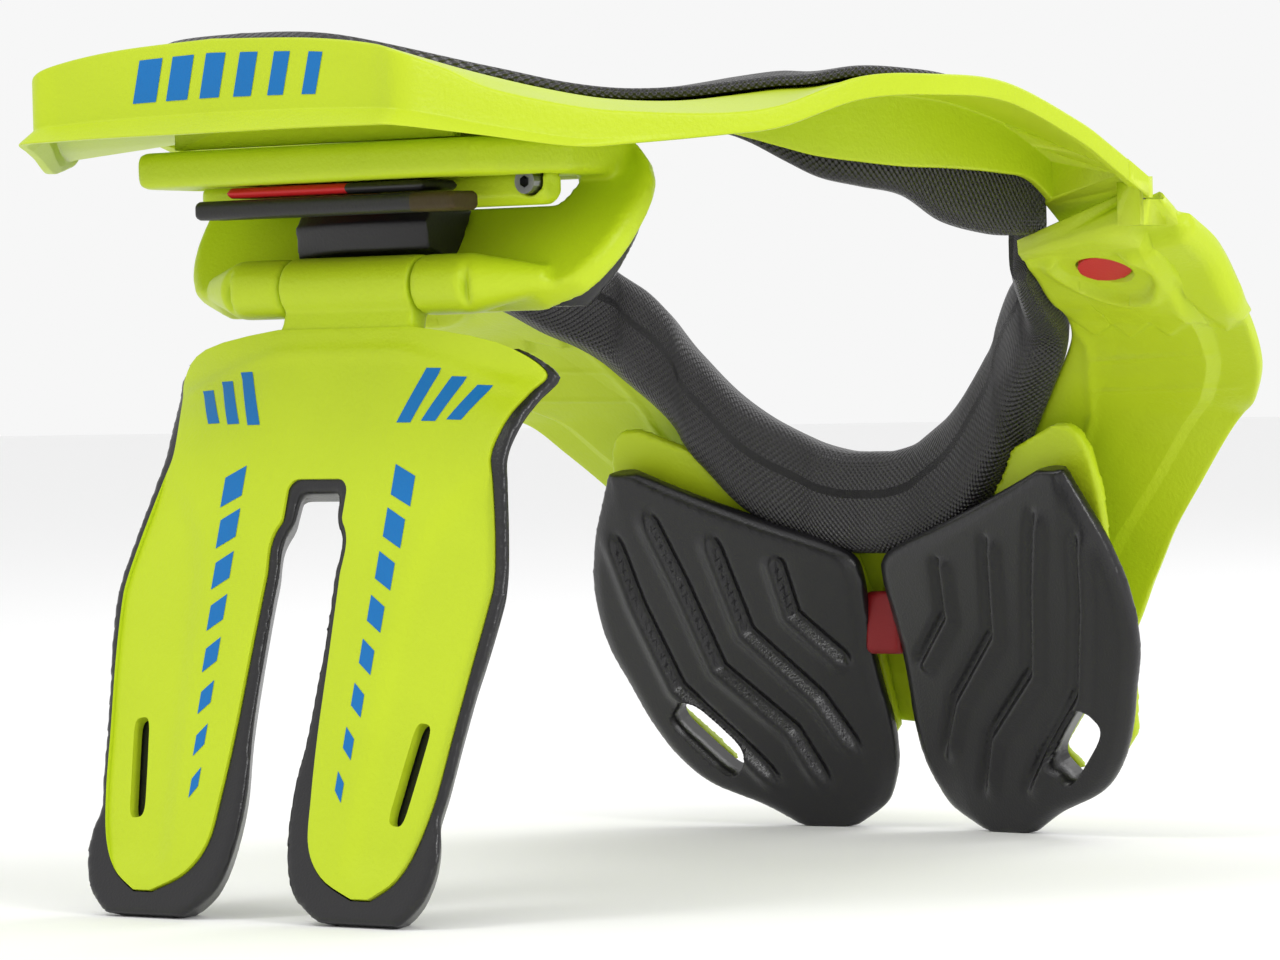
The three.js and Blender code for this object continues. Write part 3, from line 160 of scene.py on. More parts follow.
# The camera, fitted to the photograph. Its place is in mm from the strut hinge.
AZIMUTH, ELEVATION, ROLL = math.radians(37.0), math.radians(1.27), math.radians(-1.45)
FOCAL_PIXELS, PHOTO_WIDTH, PHOTO_HEIGHT, SENSOR = 6011.0, 1280, 960, 36.0
CAMERA_AT = np.array([816.8, -986.7, -14.2])
right = np.array([math.cos(AZIMUTH), math.sin(AZIMUTH), 0.0])
ahead = np.array([
    -math.sin(AZIMUTH) * math.cos(ELEVATION), math.cos(AZIMUTH) * math.cos(ELEVATION), -math.sin(ELEVATION),
])
over = np.cross(right, ahead)
cam_right = math.cos(ROLL) * right + math.sin(ROLL) * over
cam_up = -math.sin(ROLL) * right + math.cos(ROLL) * over


# Helpers for meshes
def refine(rows, steps):
    """A table with a smooth curve run through each of its columns."""
    keys = list(rows[0])
    table = np.array([[row[k] for k in keys] for row in rows])
    padded = np.vstack([table[:1], table, table[-1:]])
    out = []
    for i in range(len(rows) - 1):
        p, q, r, s = padded[i:i + 4]
        for k in range(steps):
            t = k / steps
            out.append((2 * q + (r - p) * t + (2 * p - 5 * q + 4 * r - s) * t * t
                        + (3 * q - p - 3 * r + s) * t ** 3) / 2)
    out.append(table[-1])
    return [dict(zip(keys, map(float, line))) for line in out]


def unit(v):
    v = np.asarray(v, float)
    return v / max(np.linalg.norm(v), 1e-9)


def rounded(ring, radius, seg=3):
    """The corners of a closed loop of points turned into arcs."""
    n = len(ring)
    out = []
    for i in range(n):
        a, b, c = ring[i - 1], ring[i], ring[(i + 1) % n]
        la, lc = np.linalg.norm(a - b), np.linalg.norm(c - b)
        ua, uc = (a - b) / max(la, 1e-9), (c - b) / max(lc, 1e-9)
        half = math.acos(max(-1, min(1, float(ua @ uc)))) / 2
        reach = min(radius / max(math.tan(half), 1e-3), 0.45 * la, 0.45 * lc)
        p, q = b + ua * reach, b + uc * reach
        for k in range(seg + 1):
            t = k / seg
            out.append((1 - t) ** 2 * p + 2 * t * (1 - t) * b + t * t * q)
    return out


def spaced(ring, counts):
    """A closed loop with extra points on its long spans: counts says how many, one for each span."""
    out = []
    n = len(ring)
    for i in range(n):
        for k in range(counts[i]):
            t = k / counts[i]
            out.append(ring[i] * (1 - t) + ring[(i + 1) % n] * t)
    return out


def span_counts(rings, apart):
    """How many points go on each span, so that they lie about so many mm apart."""
    n = len(rings[0])
    longest = np.array([[np.linalg.norm(r[(i + 1) % n] - r[i]) for i in range(n)] for r in rings])
    return [max(1, int(round(float(np.percentile(longest[:, i], 80)) / apart))) for i in range(n)]


def both_sides(rings):
    flip = np.array([-1.0, 1.0, 1.0])
    mirrored = [[p * flip for p in ring] for ring in rings[1:]]
    return mirrored[::-1] + list(rings)


def new_object(name, verts, faces):
    mesh = bpy.data.meshes.new(name)
    mesh.from_pydata([tuple(v) for v in verts], [], faces)
    mesh.update()
    bm = bmesh.new()
    bm.from_mesh(mesh)
    bmesh.ops.recalc_face_normals(bm, faces=bm.faces)
    bm.to_mesh(mesh)
    bm.free()
    mesh.polygons.foreach_set("use_smooth", [True] * len(mesh.polygons))
    o = bpy.data.objects.new(name, mesh)
    bpy.context.scene.collection.objects.link(o)
    return o


def loft(name, rings, uv=None):
    """A closed skin through loops with the same number of points, given in mm from the strut hinge."""
    n = len(rings[0])
    verts = [(np.asarray(p) + HINGE) * MM for ring in rings for p in ring]
    faces = []
    for k in range(len(rings) - 1):
        for i in range(n):
            j = (i + 1) % n
            faces.append((k * n + i, k * n + j, (k + 1) * n + j, (k + 1) * n + i))
    faces.append(tuple(range(n))[::-1])
    faces.append(tuple((len(rings) - 1) * n + i for i in range(n)))
    o = new_object(name, verts, faces)
    if uv is not None:
        layer = o.data.attributes.new("weave", "FLOAT_VECTOR", "POINT")
        layer.data.foreach_set("vector", np.asarray(uv, np.float32).ravel())
    return o


def active(o):
    bpy.ops.object.select_all(action="DESELECT")
    o.select_set(True)
    bpy.context.view_layer.objects.active = o


def apply(o, kind, **settings):
    active(o)
    m = o.modifiers.new(kind.lower(), kind)
    for k, v in settings.items():
        setattr(m, k, v)
    bpy.ops.object.modifier_apply(modifier=m.name)


def join(name, parts):
    active(parts[0])
    for p in parts[1:]:
        p.select_set(True)
    bpy.ops.object.join()
    o = bpy.context.view_layer.objects.active
    o.name = name
    return o


def copy_of(node, name):
    o = nodes[node].copy()
    o.data = nodes[node].data.copy()
    for key in list(o.keys()):
        del o[key]
    o.parent = None
    o.name = name
    bpy.context.scene.collection.objects.link(o)
    bm = bmesh.new()
    bm.from_mesh(o.data)
    bmesh.ops.remove_doubles(bm, verts=bm.verts, dist=0.002 * MM)
    bm.to_mesh(o.data)
    bm.free()
    return o


def fused(o, voxel, rounds):
    """One even skin over everything in o, then eased."""
    apply(o, "REMESH", mode="VOXEL", voxel_size=voxel * MM, adaptivity=0.0)
    apply(o, "SMOOTH", factor=0.5, iterations=rounds)
    o.data.polygons.foreach_set("use_smooth", [True] * len(o.data.polygons))
    return o


def coords(o):
    co = np.zeros(len(o.data.vertices) * 3)
    o.data.vertices.foreach_get("co", co)
    return co.reshape(-1, 3)


def normals(o):
    no = np.zeros(len(o.data.vertices) * 3)
    o.data.vertex_normals.foreach_get("vector", no)
    return no.reshape(-1, 3)


def set_coords(o, co):
    o.data.vertices.foreach_set("co", np.asarray(co, np.float32).ravel())
    o.data.update()


def step(a, b, x):
    """A soft step: 0 at a, 1 at b."""
    t = np.clip((x - a) / (b - a), 0, 1)
    return t * t * (3 - 2 * t)


def line_distance(x, y, points):
    """Distance from each (x, y) to a line through points, and how far along it."""
    best = np.full(x.shape, 1e9)
    share = np.zeros(x.shape)
    pts = np.asarray(points, float)
    runs = np.linalg.norm(np.diff(pts, axis=0), axis=1)
    total = runs.sum()
    done = 0.0
    for a, b, run in zip(pts[:-1], pts[1:], runs):
        t = np.clip(((x - a[0]) * (b[0] - a[0]) + (y - a[1]) * (b[1] - a[1])) / run ** 2, 0, 1)
        d = np.hypot(x - a[0] - t * (b[0] - a[0]), y - a[1] - t * (b[1] - a[1]))
        near = d < best
        best = np.where(near, d, best)
        share = np.where(near, (done + t * run) / total, share)
        done += run
    return best, share


def cut_with(o, cutter, operation="DIFFERENCE"):
    active(o)
    m = o.modifiers.new("cut", "BOOLEAN")
    m.operation, m.object, m.solver = operation, cutter, "MANIFOLD"
    bpy.ops.object.modifier_apply(modifier=m.name)
    bpy.data.objects.remove(cutter)
    return o


FAR = 400


def slab(name, start, stop):
    """A box that reaches past the brace on all sides but two: it runs from one y to another."""
    return block(name, (-FAR, start, -FAR), (FAR, stop, FAR))


def block(name, low, high):
    """A plain box, in mm from the strut hinge, for cutting with."""
    (x0, y0, z0), (x1, y1, z1) = low, high
    corners = [[np.array([x, y, z]) for x, y in ((x0, y0), (x1, y0), (x1, y1), (x0, y1))] for z in (z0, z1)]
    return loft(name, corners)


def sharpened(o, degrees):
    o.data.polygons.foreach_set("use_smooth", [True] * len(o.data.polygons))
    o.data.set_sharp_from_angle(angle=math.radians(degrees))
    return o


def dense(rings, radius, seg, across):
    """Rings with rounded corners and with points every so many mm on their long spans."""
    rings = [rounded(r, radius, seg) for r in rings]
    counts = span_counts(rings, across)
    return [spaced(r, counts) for r in rings]


def seen_at(points):
    """Where points, in mm from the strut hinge, fall in the photograph's frame, in its pixels."""
    offset = points - CAMERA_AT
    depth = offset @ ahead
    u = PHOTO_WIDTH / 2 + FOCAL_PIXELS * (offset @ cam_right) / depth
    return u, PHOTO_HEIGHT / 2 - FOCAL_PIXELS * (offset @ cam_up) / depth


def full_turn(count):
    return np.linspace(0, 2 * math.pi, count, endpoint=False)


def bulged(value, power):
    """A sine or cosine pushed outward, which squares off an oval drawn with it."""
    return math.copysign(abs(value) ** power, value)


def cylinder(name, a, b, radius, sides):
    a, b = np.asarray(a, float), np.asarray(b, float)
    axis = unit(b - a)
    side = unit(np.cross(axis, [0.3, 0.2, 0.9]))
    up = np.cross(axis, side)
    rings = []
    soft = 0.06 * radius
    near, far = axis * soft, -axis * soft
    for c, r in ((a, radius - soft), (a + near, radius), (b + far, radius), (b, radius - soft)):
        rings.append([c + r * (math.cos(t) * side + math.sin(t) * up) for t in full_turn(sides)])
    return loft(name, rings)


# Materials
# How a material varies over its surface
CLOUD_SCALE, CLOUD_DARK, CLOUD_LIGHT = 38.0, 0.93, 1.06
ROUGH_LESS, ROUGH_MORE = 0.06, 0.08
# Pointiness range and strength for lightened edges: on most pieces a painted highlight along the edges, on the
# scuffed strip its real ochre wear
EDGE_FROM, EDGE_TO, EDGE_STRENGTH = 0.54, 0.66, 0.45
BUMP_DEPTH, GRAIN_SHARE = 0.0004, 0.25
# How much lighter the tops of the weave's bumps are coloured: painted highlight
DOT_HIGHLIGHT_GAIN, DOT_HIGHLIGHT_BASE, DOT_HIGHLIGHT_STRENGTH = 2.6, 0.012, 0.7


class Nodes:
    """A material's node tree, with short calls that add and join nodes."""

    def __init__(self, tree):
        self.tree = tree

    def add(self, kind, **inputs):
        node = self.tree.nodes.new("ShaderNode" + kind)
        for key, value in inputs.items():
            node.inputs[key].default_value = value
        return node

    def link(self, source, target):
        self.tree.links.new(source, target)

    def math(self, operation, a, b):
        """A math node over a socket and a second socket or number."""
        node = self.tree.nodes.new("ShaderNodeMath")
        node.operation = operation
        self.link(a, node.inputs[0])
        if isinstance(b, float):
            node.inputs[1].default_value = b
        elif b is not None:
            self.link(b, node.inputs[1])
        return node.outputs["Value"]

    def ranged(self, value, **ends):
        node = self.tree.nodes.new("ShaderNodeMapRange")
        for key, end in ends.items():
            node.inputs[key.replace("_", " ")].default_value = end
        self.link(value, node.inputs["Value"])
        return node.outputs["Result"]

    def blended(self, factor, a, b):
        """A colour mix: b is a colour, and a is a colour or a socket."""
        node = self.tree.nodes.new("ShaderNodeMix")
        node.data_type = "RGBA"
        self.link(factor, node.inputs["Factor"])
        if isinstance(a, tuple):
            node.inputs["A"].default_value = (*a, 1)
        else:
            self.link(a, node.inputs["A"])
        node.inputs["B"].default_value = (*b, 1)
        return node.outputs["Result"]

    def noise(self, place, scale, detail):
        node = self.add("TexNoise", Scale=scale, Detail=detail)
        self.link(place, node.inputs["Vector"])
        return node.outputs["Fac"]


def weave_height(nt, weave):
    """Rows of small bumps, weave mm apart, in the piece's own weave coordinates."""
    at = nt.add("Attribute")
    at.attribute_name = "weave"
    split = nt.add("SeparateXYZ")
    nt.link(at.outputs["Vector"], split.inputs["Vector"])
    turn = 2 * math.pi / weave
    waves = [nt.math("SINE", nt.math("MULTIPLY", split.outputs[axis], turn), None) for axis in ("X", "Y")]
    return nt.ranged(nt.math("MULTIPLY", *waves), From_Min=-0.8, From_Max=0.8)


def material(name, color, rough, bump, grain, weave=None, edge_wear_and_sheen=None, metallic=0.0, specular=0.5):
    m = bpy.data.materials.new(name)
    m.use_nodes = True
    nt = Nodes(m.node_tree)
    shader = m.node_tree.nodes["Principled BSDF"]
    place = nt.add("TexCoord").outputs["Object"]
    shader.inputs["Metallic"].default_value = metallic
    shader.inputs["Specular IOR Level"].default_value = specular
    cloud = nt.noise(place, CLOUD_SCALE, 4.0)
    dark, light = [tuple(min(1, c * k) for c in color) for k in (CLOUD_DARK, CLOUD_LIGHT)]
    shade = nt.blended(cloud, dark, light)
    # Convex edges are blended towards the given colour: a painted highlight along the edges on most pieces,
    # real ochre wear on the scuffed strip
    if edge_wear_and_sheen:
        pointed = nt.add("NewGeometry").outputs["Pointiness"]
        edge = nt.ranged(pointed, From_Min=EDGE_FROM, From_Max=EDGE_TO)
        shade = nt.blended(nt.math("MULTIPLY", edge, EDGE_STRENGTH), shade, edge_wear_and_sheen)
    height = nt.noise(place, grain, 3.0)
    if weave:
        cells = weave_height(nt, weave)
        height = nt.math("ADD", nt.math("MULTIPLY", height, GRAIN_SHARE), cells)
        # The tops of the weave's bumps are coloured lighter: painted highlight on the weave's dots
        dot_highlight = tuple(min(1, c * DOT_HIGHLIGHT_GAIN + DOT_HIGHLIGHT_BASE) for c in color)
        shade = nt.blended(nt.math("MULTIPLY", cells, DOT_HIGHLIGHT_STRENGTH), shade, dot_highlight)
    nt.link(shade, shader.inputs["Base Color"])
    roughness = nt.ranged(cloud, To_Min=rough - ROUGH_LESS, To_Max=rough + ROUGH_MORE)
    nt.link(roughness, shader.inputs["Roughness"])
    lift = nt.add("Bump", Strength=bump, Distance=BUMP_DEPTH)
    nt.link(height, lift.inputs["Height"])
    nt.link(lift.outputs["Normal"], shader.inputs["Normal"])
    return m


# Each: colour, roughness, bump, grain and what else it has
LIME = material("lime_satin", (0.50, 0.63, 0.015), 0.4, 0.3, 1050.0, edge_wear_and_sheen=(0.68, 0.78, 0.1), specular=0.3)
WEAVE = material("mesh_weave", (0.010, 0.009, 0.010), 0.36, 1.0, 900.0, weave=1.5, specular=0.6)
FOAM = material("moulded_foam", (0.0075, 0.007, 0.0085), 0.3, 0.22, 1900.0, specular=0.5)
RED = material("red_satin", (0.52, 0.012, 0.014), 0.4, 0.15, 1300.0, edge_wear_and_sheen=(0.75, 0.1, 0.08), specular=0.35)
# A darker copy of red_satin for the front adjuster: painted shade for the shadow that piece stands in
RED_PAINTED_SHADE = material(
    "red_with_painted_shade", (0.2, 0.006, 0.008), 0.42, 0.15, 1300.0, edge_wear_and_sheen=(0.4, 0.05, 0.04), specular=0.3,
)
BLACK = material(
    "black_satin", (0.012, 0.011, 0.012), 0.42, 0.2, 1300.0, edge_wear_and_sheen=(0.05, 0.045, 0.05), specular=0.45,
)
SCUFFED = material(
    "scuffed_black", (0.05, 0.032, 0.008), 0.6, 0.8, 420.0, edge_wear_and_sheen=(0.5, 0.28, 0.03), specular=0.35,
)
STEEL = material("dark_steel", (0.16, 0.16, 0.17), 0.33, 0.1, 700.0, metallic=1.0, edge_wear_and_sheen=(0.4, 0.4, 0.42))
BLUE = material("blue_print", (0.0, 0.15, 0.45), 0.45, 0.1, 1500.0, specular=0.3)


def finish(o, mat, body, *replaced, padded=None):
    o.data.materials.clear()
    o.data.materials.append(mat)
    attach(o, body)
    if replaced:
        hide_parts(*replaced)
    return o


# Rear table and its pad
FOLD = 0.78  # where the fascia folds out into its lip, as a share of the fascia's height
REAR_STEPS, FASCIA_STATIONS = 9, 45
END_Y = 113.0  # from here forward the arms' ends are joined with their eyes and end blocks, from the solids
WALL_END = 128.2
RIB_BOX = (-39, -16, 28), (39, -11, 60)  # the part of the table's solid that holds its rib
SHELL_CREASE = 38  # edges sharper than this many degrees stay sharp
DASHES, DASH_START, DASH_PITCH, DASH_LEAN = 6, -22, 9.2, 2.2
DASH_WIDTH, DASH_NARROWING, DASH_TOP, DASH_FOOT = 6.4, 0.55, 0.2, 0.8
PRINT_PROUD = 0.12


def on_ring(across, forward, up):
    return np.array([across * RING_HALF_WIDTH, forward * RING_LENGTH - TABLE_REACH, up * TABLE_CREST])


def rear_station(row):
    outer = on_ring(row["out"], row["back"], row["rise"])
    inner = on_ring(row["in"], row["fore"], row["lift"])
    inward = unit([inner[0] - outer[0], inner[1] - outer[1], 0])
    return dict(row=row, outer=outer, inner=inner, inward=inward, foot=SEAT - row["drop"] * WALL_DROP)


def beside(point, inward, along, up):
    return point + inward * along + UP * up


def table_ring(s):
    row, outer, inner, inward, foot = s["row"], s["outer"], s["inner"], s["inward"], s["foot"]
    rim = row["rim"] * FASCIA_HEIGHT
    fold = rim * FOLD
    flare = row["flare"] * LIP_FLARE
    foot -= inner[2]
    return [
        beside(outer, inward, -flare, -rim), beside(outer, inward, 0, -fold), outer, inner,
        beside(inner, inward, 0, foot), beside(inner, inward, -SHELL_WALL, foot),
        beside(inner, inward, -SHELL_WALL, -SHELL_WALL), beside(outer, inward, SHELL_WALL, -SHELL_WALL),
        beside(outer, inward, SHELL_WALL, -fold), beside(outer, inward, SHELL_WALL - flare, -rim),
    ]


STATIONS = [rear_station(row) for row in refine(REAR_ROWS, REAR_STEPS)]


def table_piece():
    """The table and its wall, with the eyes, end blocks and rib of the solid."""
    rings = dense(both_sides([table_ring(s) for s in STATIONS]), 0.7, 3, 3.0)
    shell = loft("table_shell", rings)
    cut_with(shell, slab("ahead", END_Y, FAR))
    tips = loft("arm_tips", rings)
    cut_with(tips, slab("tips", END_Y, WALL_END), "INTERSECT")
    ends = copy_of("rear_table", "arm_ends")
    cut_with(ends, slab("ends", END_Y, FAR), "INTERSECT")
    cut_with(ends, tips, "UNION")
    rib = copy_of("rear_table", "rib")
    cut_with(rib, block("rib", *RIB_BOX), "INTERSECT")
    return sharpened(join("table_shell", [shell, ends, rib]), SHELL_CREASE)


def fascia_point(x, share, proud):
    """On the fascia: share runs from its top edge down to the fold."""
    xs = np.array([s["outer"][0] for s in STATIONS[:FASCIA_STATIONS]])
    k = min(int(np.searchsorted(xs, abs(x))), len(xs) - 1)
    a, b = STATIONS[max(0, k - 1)], STATIONS[k]
    t = 0.0 if k == 0 else (abs(x) - xs[k - 1]) / max(xs[k] - xs[k - 1], 1e-6)
    p = a["outer"] * (1 - t) + b["outer"] * t
    fold = (a["row"]["rim"] * (1 - t) + b["row"]["rim"] * t) * FASCIA_HEIGHT * FOLD
    inward = unit(a["inward"] * (1 - t) + b["inward"] * t)
    q = p - inward * proud - UP * fold * share
    return np.array([math.copysign(q[0], x) if x else q[0], q[1], q[2]])


def patch(name, place, corners, steps):
    """A thin print over a surface: corners in its own coordinates, place gives the points."""
    c = np.array(corners, float)
    verts, faces = [], []
    for j in range(steps + 1):
        for i in range(steps + 1):
            u, v = i / steps, j / steps
            s = (c[0] * (1 - u) + c[1] * u) * (1 - v) + (c[3] * (1 - u) + c[2] * u) * v
            verts.append((place(*s) + HINGE) * MM)
    for j in range(steps):
        for i in range(steps):
            k = j * (steps + 1) + i
            faces.append((k, k + 1, k + steps + 2, k + steps + 1))
    return new_object(name, verts, faces)


def with_prints(o, prints):
    """Prints joined to the piece that they are on, with the second of its materials."""
    for p in prints:
        p.data.materials.append(LIME)
        p.data.materials.append(BLUE)
        p.data.polygons.foreach_set("material_index", [1] * len(p.data.polygons))
    o.data.materials.clear()
    o.data.materials.append(LIME)
    o.data.materials.append(BLUE)
    o.data.polygons.foreach_set("material_index", [0] * len(o.data.polygons))
    return join(o.name, [o] + prints)


def fascia_dashes():
    dashes = []
    for k in range(DASHES):
        x = DASH_START + DASH_PITCH * k
        width = DASH_WIDTH - DASH_NARROWING * k
        top = x + DASH_LEAN
        corners = [(top, DASH_TOP), (top + width, DASH_TOP), (x + width, DASH_FOOT), (x, DASH_FOOT)]
        dashes.append(patch(f"dash_{k}", lambda *spot: fascia_point(*spot, PRINT_PROUD), corners, 6))
    return dashes


table = with_prints(table_piece(), fascia_dashes())
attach(table, "rear")
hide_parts("rear_table", "rear_wall")


def collar_pad_ring(s):
    row, inner, outer, inward = s["row"], s["inner"], s["outer"], s["inward"]
    low = SEAT - row["pad"] * WALL_DROP - inner[2]
    rise = row["puff"] * FLAP_RISE + GAP
    side = COLLAR_PAD_THICK + GAP

    def roof(share, up):
        return inner * (1 - share) + outer * share + UP * up

    flap = row["flap"]
    return [
        roof(flap, GAP + 0.4), roof(flap * 0.96, GAP + FLAP_THICK),
        roof(flap * 0.35, GAP + FLAP_THICK + 0.3 * rise),
        beside(inner, inward, side * 0.45, rise + FLAP_THICK * 0.35), beside(inner, inward, side, -2),
        beside(inner, inward, side * 0.92, low + 3), beside(inner, inward, side * 0.6, low),
        beside(inner, inward, GAP, low + 0.5), beside(inner, inward, GAP, GAP + 0.4),
    ]


def run_along(points):
    """How far each point lies along the line through all of them."""
    steps = np.linalg.norm(np.diff(np.array(points), axis=0), axis=1)
    return np.concatenate([[0], np.cumsum(steps)])


def woven(name, rings, radius, across):
    """A loft with its own even weave coordinates: x runs along the piece, y round it, in mm."""
    rings = [rounded(r, radius, 3) for r in rings]
    counts = span_counts(rings, across)
    rings = [spaced(r, counts) for r in rings]
    n = len(rings[0])
    centre = np.array([np.mean(r, axis=0) for r in rings])
    run = run_along(centre)
    around = np.median([run_along(ring) for ring in rings], axis=0)
    uv = [(run[k], around[i], 0.0) for k in range(len(rings)) for i in range(n)]
    return loft(name, rings, uv=uv)


rear_pad = woven("rear_collar_cover", both_sides([collar_pad_ring(s) for s in STATIONS[:-4]]), 2.2, 2.0)
finish(rear_pad, WEAVE, "rear", "rear_collar_pad", padded=0.8)


# Front half and its collar
def on_front(across, forward, down):
    return np.array([across * RING_HALF_WIDTH, SEAM_REACH + forward * CHEST_REACH, -down * BIB_DROP])


def front_station(row):
    outer = on_front(row["out"], row["fore"], row["fall"])
    return dict(row=row, outer=outer, inner=on_front(row["in"], row["near"], row["sink"]))


FRONT_STEPS = 14
FRONT = [front_station(row) for row in refine(FRONT_ROWS, FRONT_STEPS)]
for i, s in enumerate(FRONT):
    before, after = FRONT[max(0, i - 1)], FRONT[min(len(FRONT) - 1, i + 1)]
    run = after["outer"] + after["inner"] - before["outer"] - before["inner"]
    if i == len(FRONT) - 1:
        run = np.array([-1.0, 0.0, 0.0])
    s["run"] = unit(run)
    s["across"] = unit(s["outer"] - s["inner"])
    s["hidden"] = unit(np.cross(s["across"], s["run"]))
    s["inward"] = unit([-s["run"][1], s["run"][0], 0])

# Across a shoulder, from its outer edge: the share across, and the depth as a share of the flange
FRONT_SECTION = [(0.0, 0.62), (0.2, 0.62), (0.26, 1.0), (0.5, 0.8), (0.75, 0.62)]


def front_ring(s):
    row, outer, inner, across, hidden = s["row"], s["outer"], s["inner"], s["across"], s["hidden"]
    flange = row["flange"] * SHOULDER_FLANGE
    top = inner + hidden * FRONT_WALL
    seen = [outer * (1 - a) + top * a - hidden * max(d * flange, 0.75 * FRONT_WALL) for a, d in FRONT_SECTION]
    return [outer - across, outer - hidden, *seen, inner, top]


FRONT_START = 131.0  # behind this the latches come from the solids

# Forms moulded into the underside of the shoulders, where the photograph shows them, in its pixels
STEP_LINE = [
    (1040, 300), (1075, 319), (1098, 333), (1113, 322), (1133, 336), (1151, 322), (1172, 334), (1190, 320),
    (1228, 327), (1262, 300),
]
RIDGE_LINE = [(1108, 206), (1134, 236), (1176, 282), (1232, 326)]
FINE_LINES = [[(1093, 361), (1212, 354)], [(1093, 392), (1240, 386)]]
EDGE_LINE = [(1070, 322), (1088, 345), (1092, 415), (1078, 470)]
POCKET, POCKET_SIZE = (1141, 240), (3.2, 8.5)
RIDGE_END = (1244, 1230)
STEP_SOFT, RIDGE_SOFT, FINE_WIDTH, EDGE_WIDTH = 2.6, 3.2, 1.5, 5.0
# How far they stand out, and the dish round each button, in mm
STEP_HEIGHT, RIDGE_HEIGHT, FINE_HEIGHT, EDGE_HEIGHT, POCKET_DEPTH = 1.4, 1.1, 0.4, 0.5, 1.6
DISH_RADIUS, DISH_FLOOR, DISH_RIM, DISH_RIM_HEIGHT, DISH_RIM_WIDTH = (12.2, 10.4), 0.2, 12.4, 1.2, 1.6
BUTTON_WELL, WELL_TOP, WELL_FOOT = 6.5, 2.9, 12
# Where the shoulder is, how squarely its skin must face the camera, and how far from the middle it starts
SHOULDER, FACING, SHOULDER_INSIDE = np.array([100.0, 150.0, 0.0]), (0.1, 0.45), (40, 52)
PRESS = {j["child"]: np.array(j["axis"]) for j in frame["joints"] if j["type"] == "slide"}


def bell(distance, width, power=2):
    return np.exp(-((distance / width) ** power))


def button_centre(name):
    low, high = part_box(f"button_{name}")
    return (np.array(low) + np.array(high)) / 2 / MM - HINGE


def shoulder_relief(p):
    """How far the right shoulder's underside stands out at the points p, in mm from the strut hinge."""
    u, v = seen_at(p)
    step_v = np.interp(u, *zip(*STEP_LINE))
    plateau = step(STEP_SOFT, -STEP_SOFT, v - step_v)
    ridge_v = np.interp(u, *zip(*RIDGE_LINE), left=-1e3, right=1e4)
    outside = step(RIDGE_SOFT, -RIDGE_SOFT, v - ridge_v) * step(*RIDGE_END, u)
    lift = STEP_HEIGHT * plateau + RIDGE_HEIGHT * plateau * outside
    for line in FINE_LINES:
        lift += FINE_HEIGHT * bell(line_distance(u, v, line)[0], FINE_WIDTH)
    lift += EDGE_HEIGHT * bell(line_distance(u, v, EDGE_LINE)[0], EDGE_WIDTH) * (1 - plateau)
    lift -= POCKET_DEPTH * bell(u - POCKET[0], POCKET_SIZE[0], 4) * bell(v - POCKET[1], POCKET_SIZE[1], 4)
    axis = PRESS["release_right"]
    offset = p - button_centre("right")
    away = np.linalg.norm(offset - np.outer(offset @ axis, axis), axis=1)
    dish = step(*DISH_RADIUS, away)
    return lift * (1 - dish) + dish * DISH_FLOOR + DISH_RIM_HEIGHT * bell(away - DISH_RIM, DISH_RIM_WIDTH)


def underside(p, n):
    """1 on the part of the shoulders that the photograph shows, 0 elsewhere, with soft ends."""
    view = unit(CAMERA_AT - SHOULDER)
    beyond = step(FRONT_START + 0.5, FRONT_START + 3, p[:, 1])
    return step(*FACING, n @ view) * beyond * step(*SHOULDER_INSIDE, p[:, 0])


def front_piece():
    shell = loft("front_shell", dense(both_sides([front_ring(s) for s in FRONT[::-1]]), 0.8, 2, 0.85))
    cut_with(shell, slab("behind", -FAR, FRONT_START))
    co, n = coords(shell), normals(shell)
    p, right_n = co / MM - HINGE, n.copy()
    p[:, 0] = np.abs(p[:, 0])
    right_n[:, 0] *= np.sign(co[:, 0] + 1e-9)
    set_coords(shell, co + n * (shoulder_relief(p) * underside(p, right_n))[:, None] * MM)
    for name in ("right", "left"):
        centre, axis = button_centre(name), PRESS[f"release_{name}"]
        well = cylinder(f"well_{name}", centre + axis * WELL_TOP, centre - axis * WELL_FOOT, BUTTON_WELL, 64)
        cut_with(shell, well)
    latches = copy_of("front_frame", "latches")
    cut_with(latches, slab("latches", -FAR, FRONT_START), "INTERSECT")
    return sharpened(join("front_shell", [shell, latches]), SHELL_CREASE)


finish(front_piece(), LIME, "front", "front_frame")


COLLAR_SIDES, COLLAR_BOXY_BEHIND, COLLAR_STANDOFF, COLLAR_RISE = 28, 0.35, 0.1, 0.64


def front_collar_ring(s):
    row, inner, inward = s["row"], s["inner"], s["inward"]
    half = row["collar"] * FRONT_COLLAR_HEIGHT / 2
    thick = FRONT_COLLAR_THICK * (1.3 * row["collar"] - 0.3) / 2
    centre = inner + inward * (thick + COLLAR_STANDOFF) + UP * half * COLLAR_RISE
    out = []
    for k in range(COLLAR_SIDES):
        t = (k + 0.5) / COLLAR_SIDES * 2 * math.pi
        c, w = math.cos(t), math.sin(t)
        boxy = COLLAR_BOXY if c > 0 else COLLAR_BOXY_BEHIND
        out.append(centre + inward * thick * bulged(c, boxy) + UP * half * bulged(w, COLLAR_BOXY))
    return out


collar_rings = both_sides([front_collar_ring(s) for s in FRONT[:FRONT_STEPS - 1:-1]])
collar = woven("front_collar_cover", collar_rings, 0.5, 2.0)
finish(collar, WEAVE, "front", "front_collar_pad", padded=0.85)


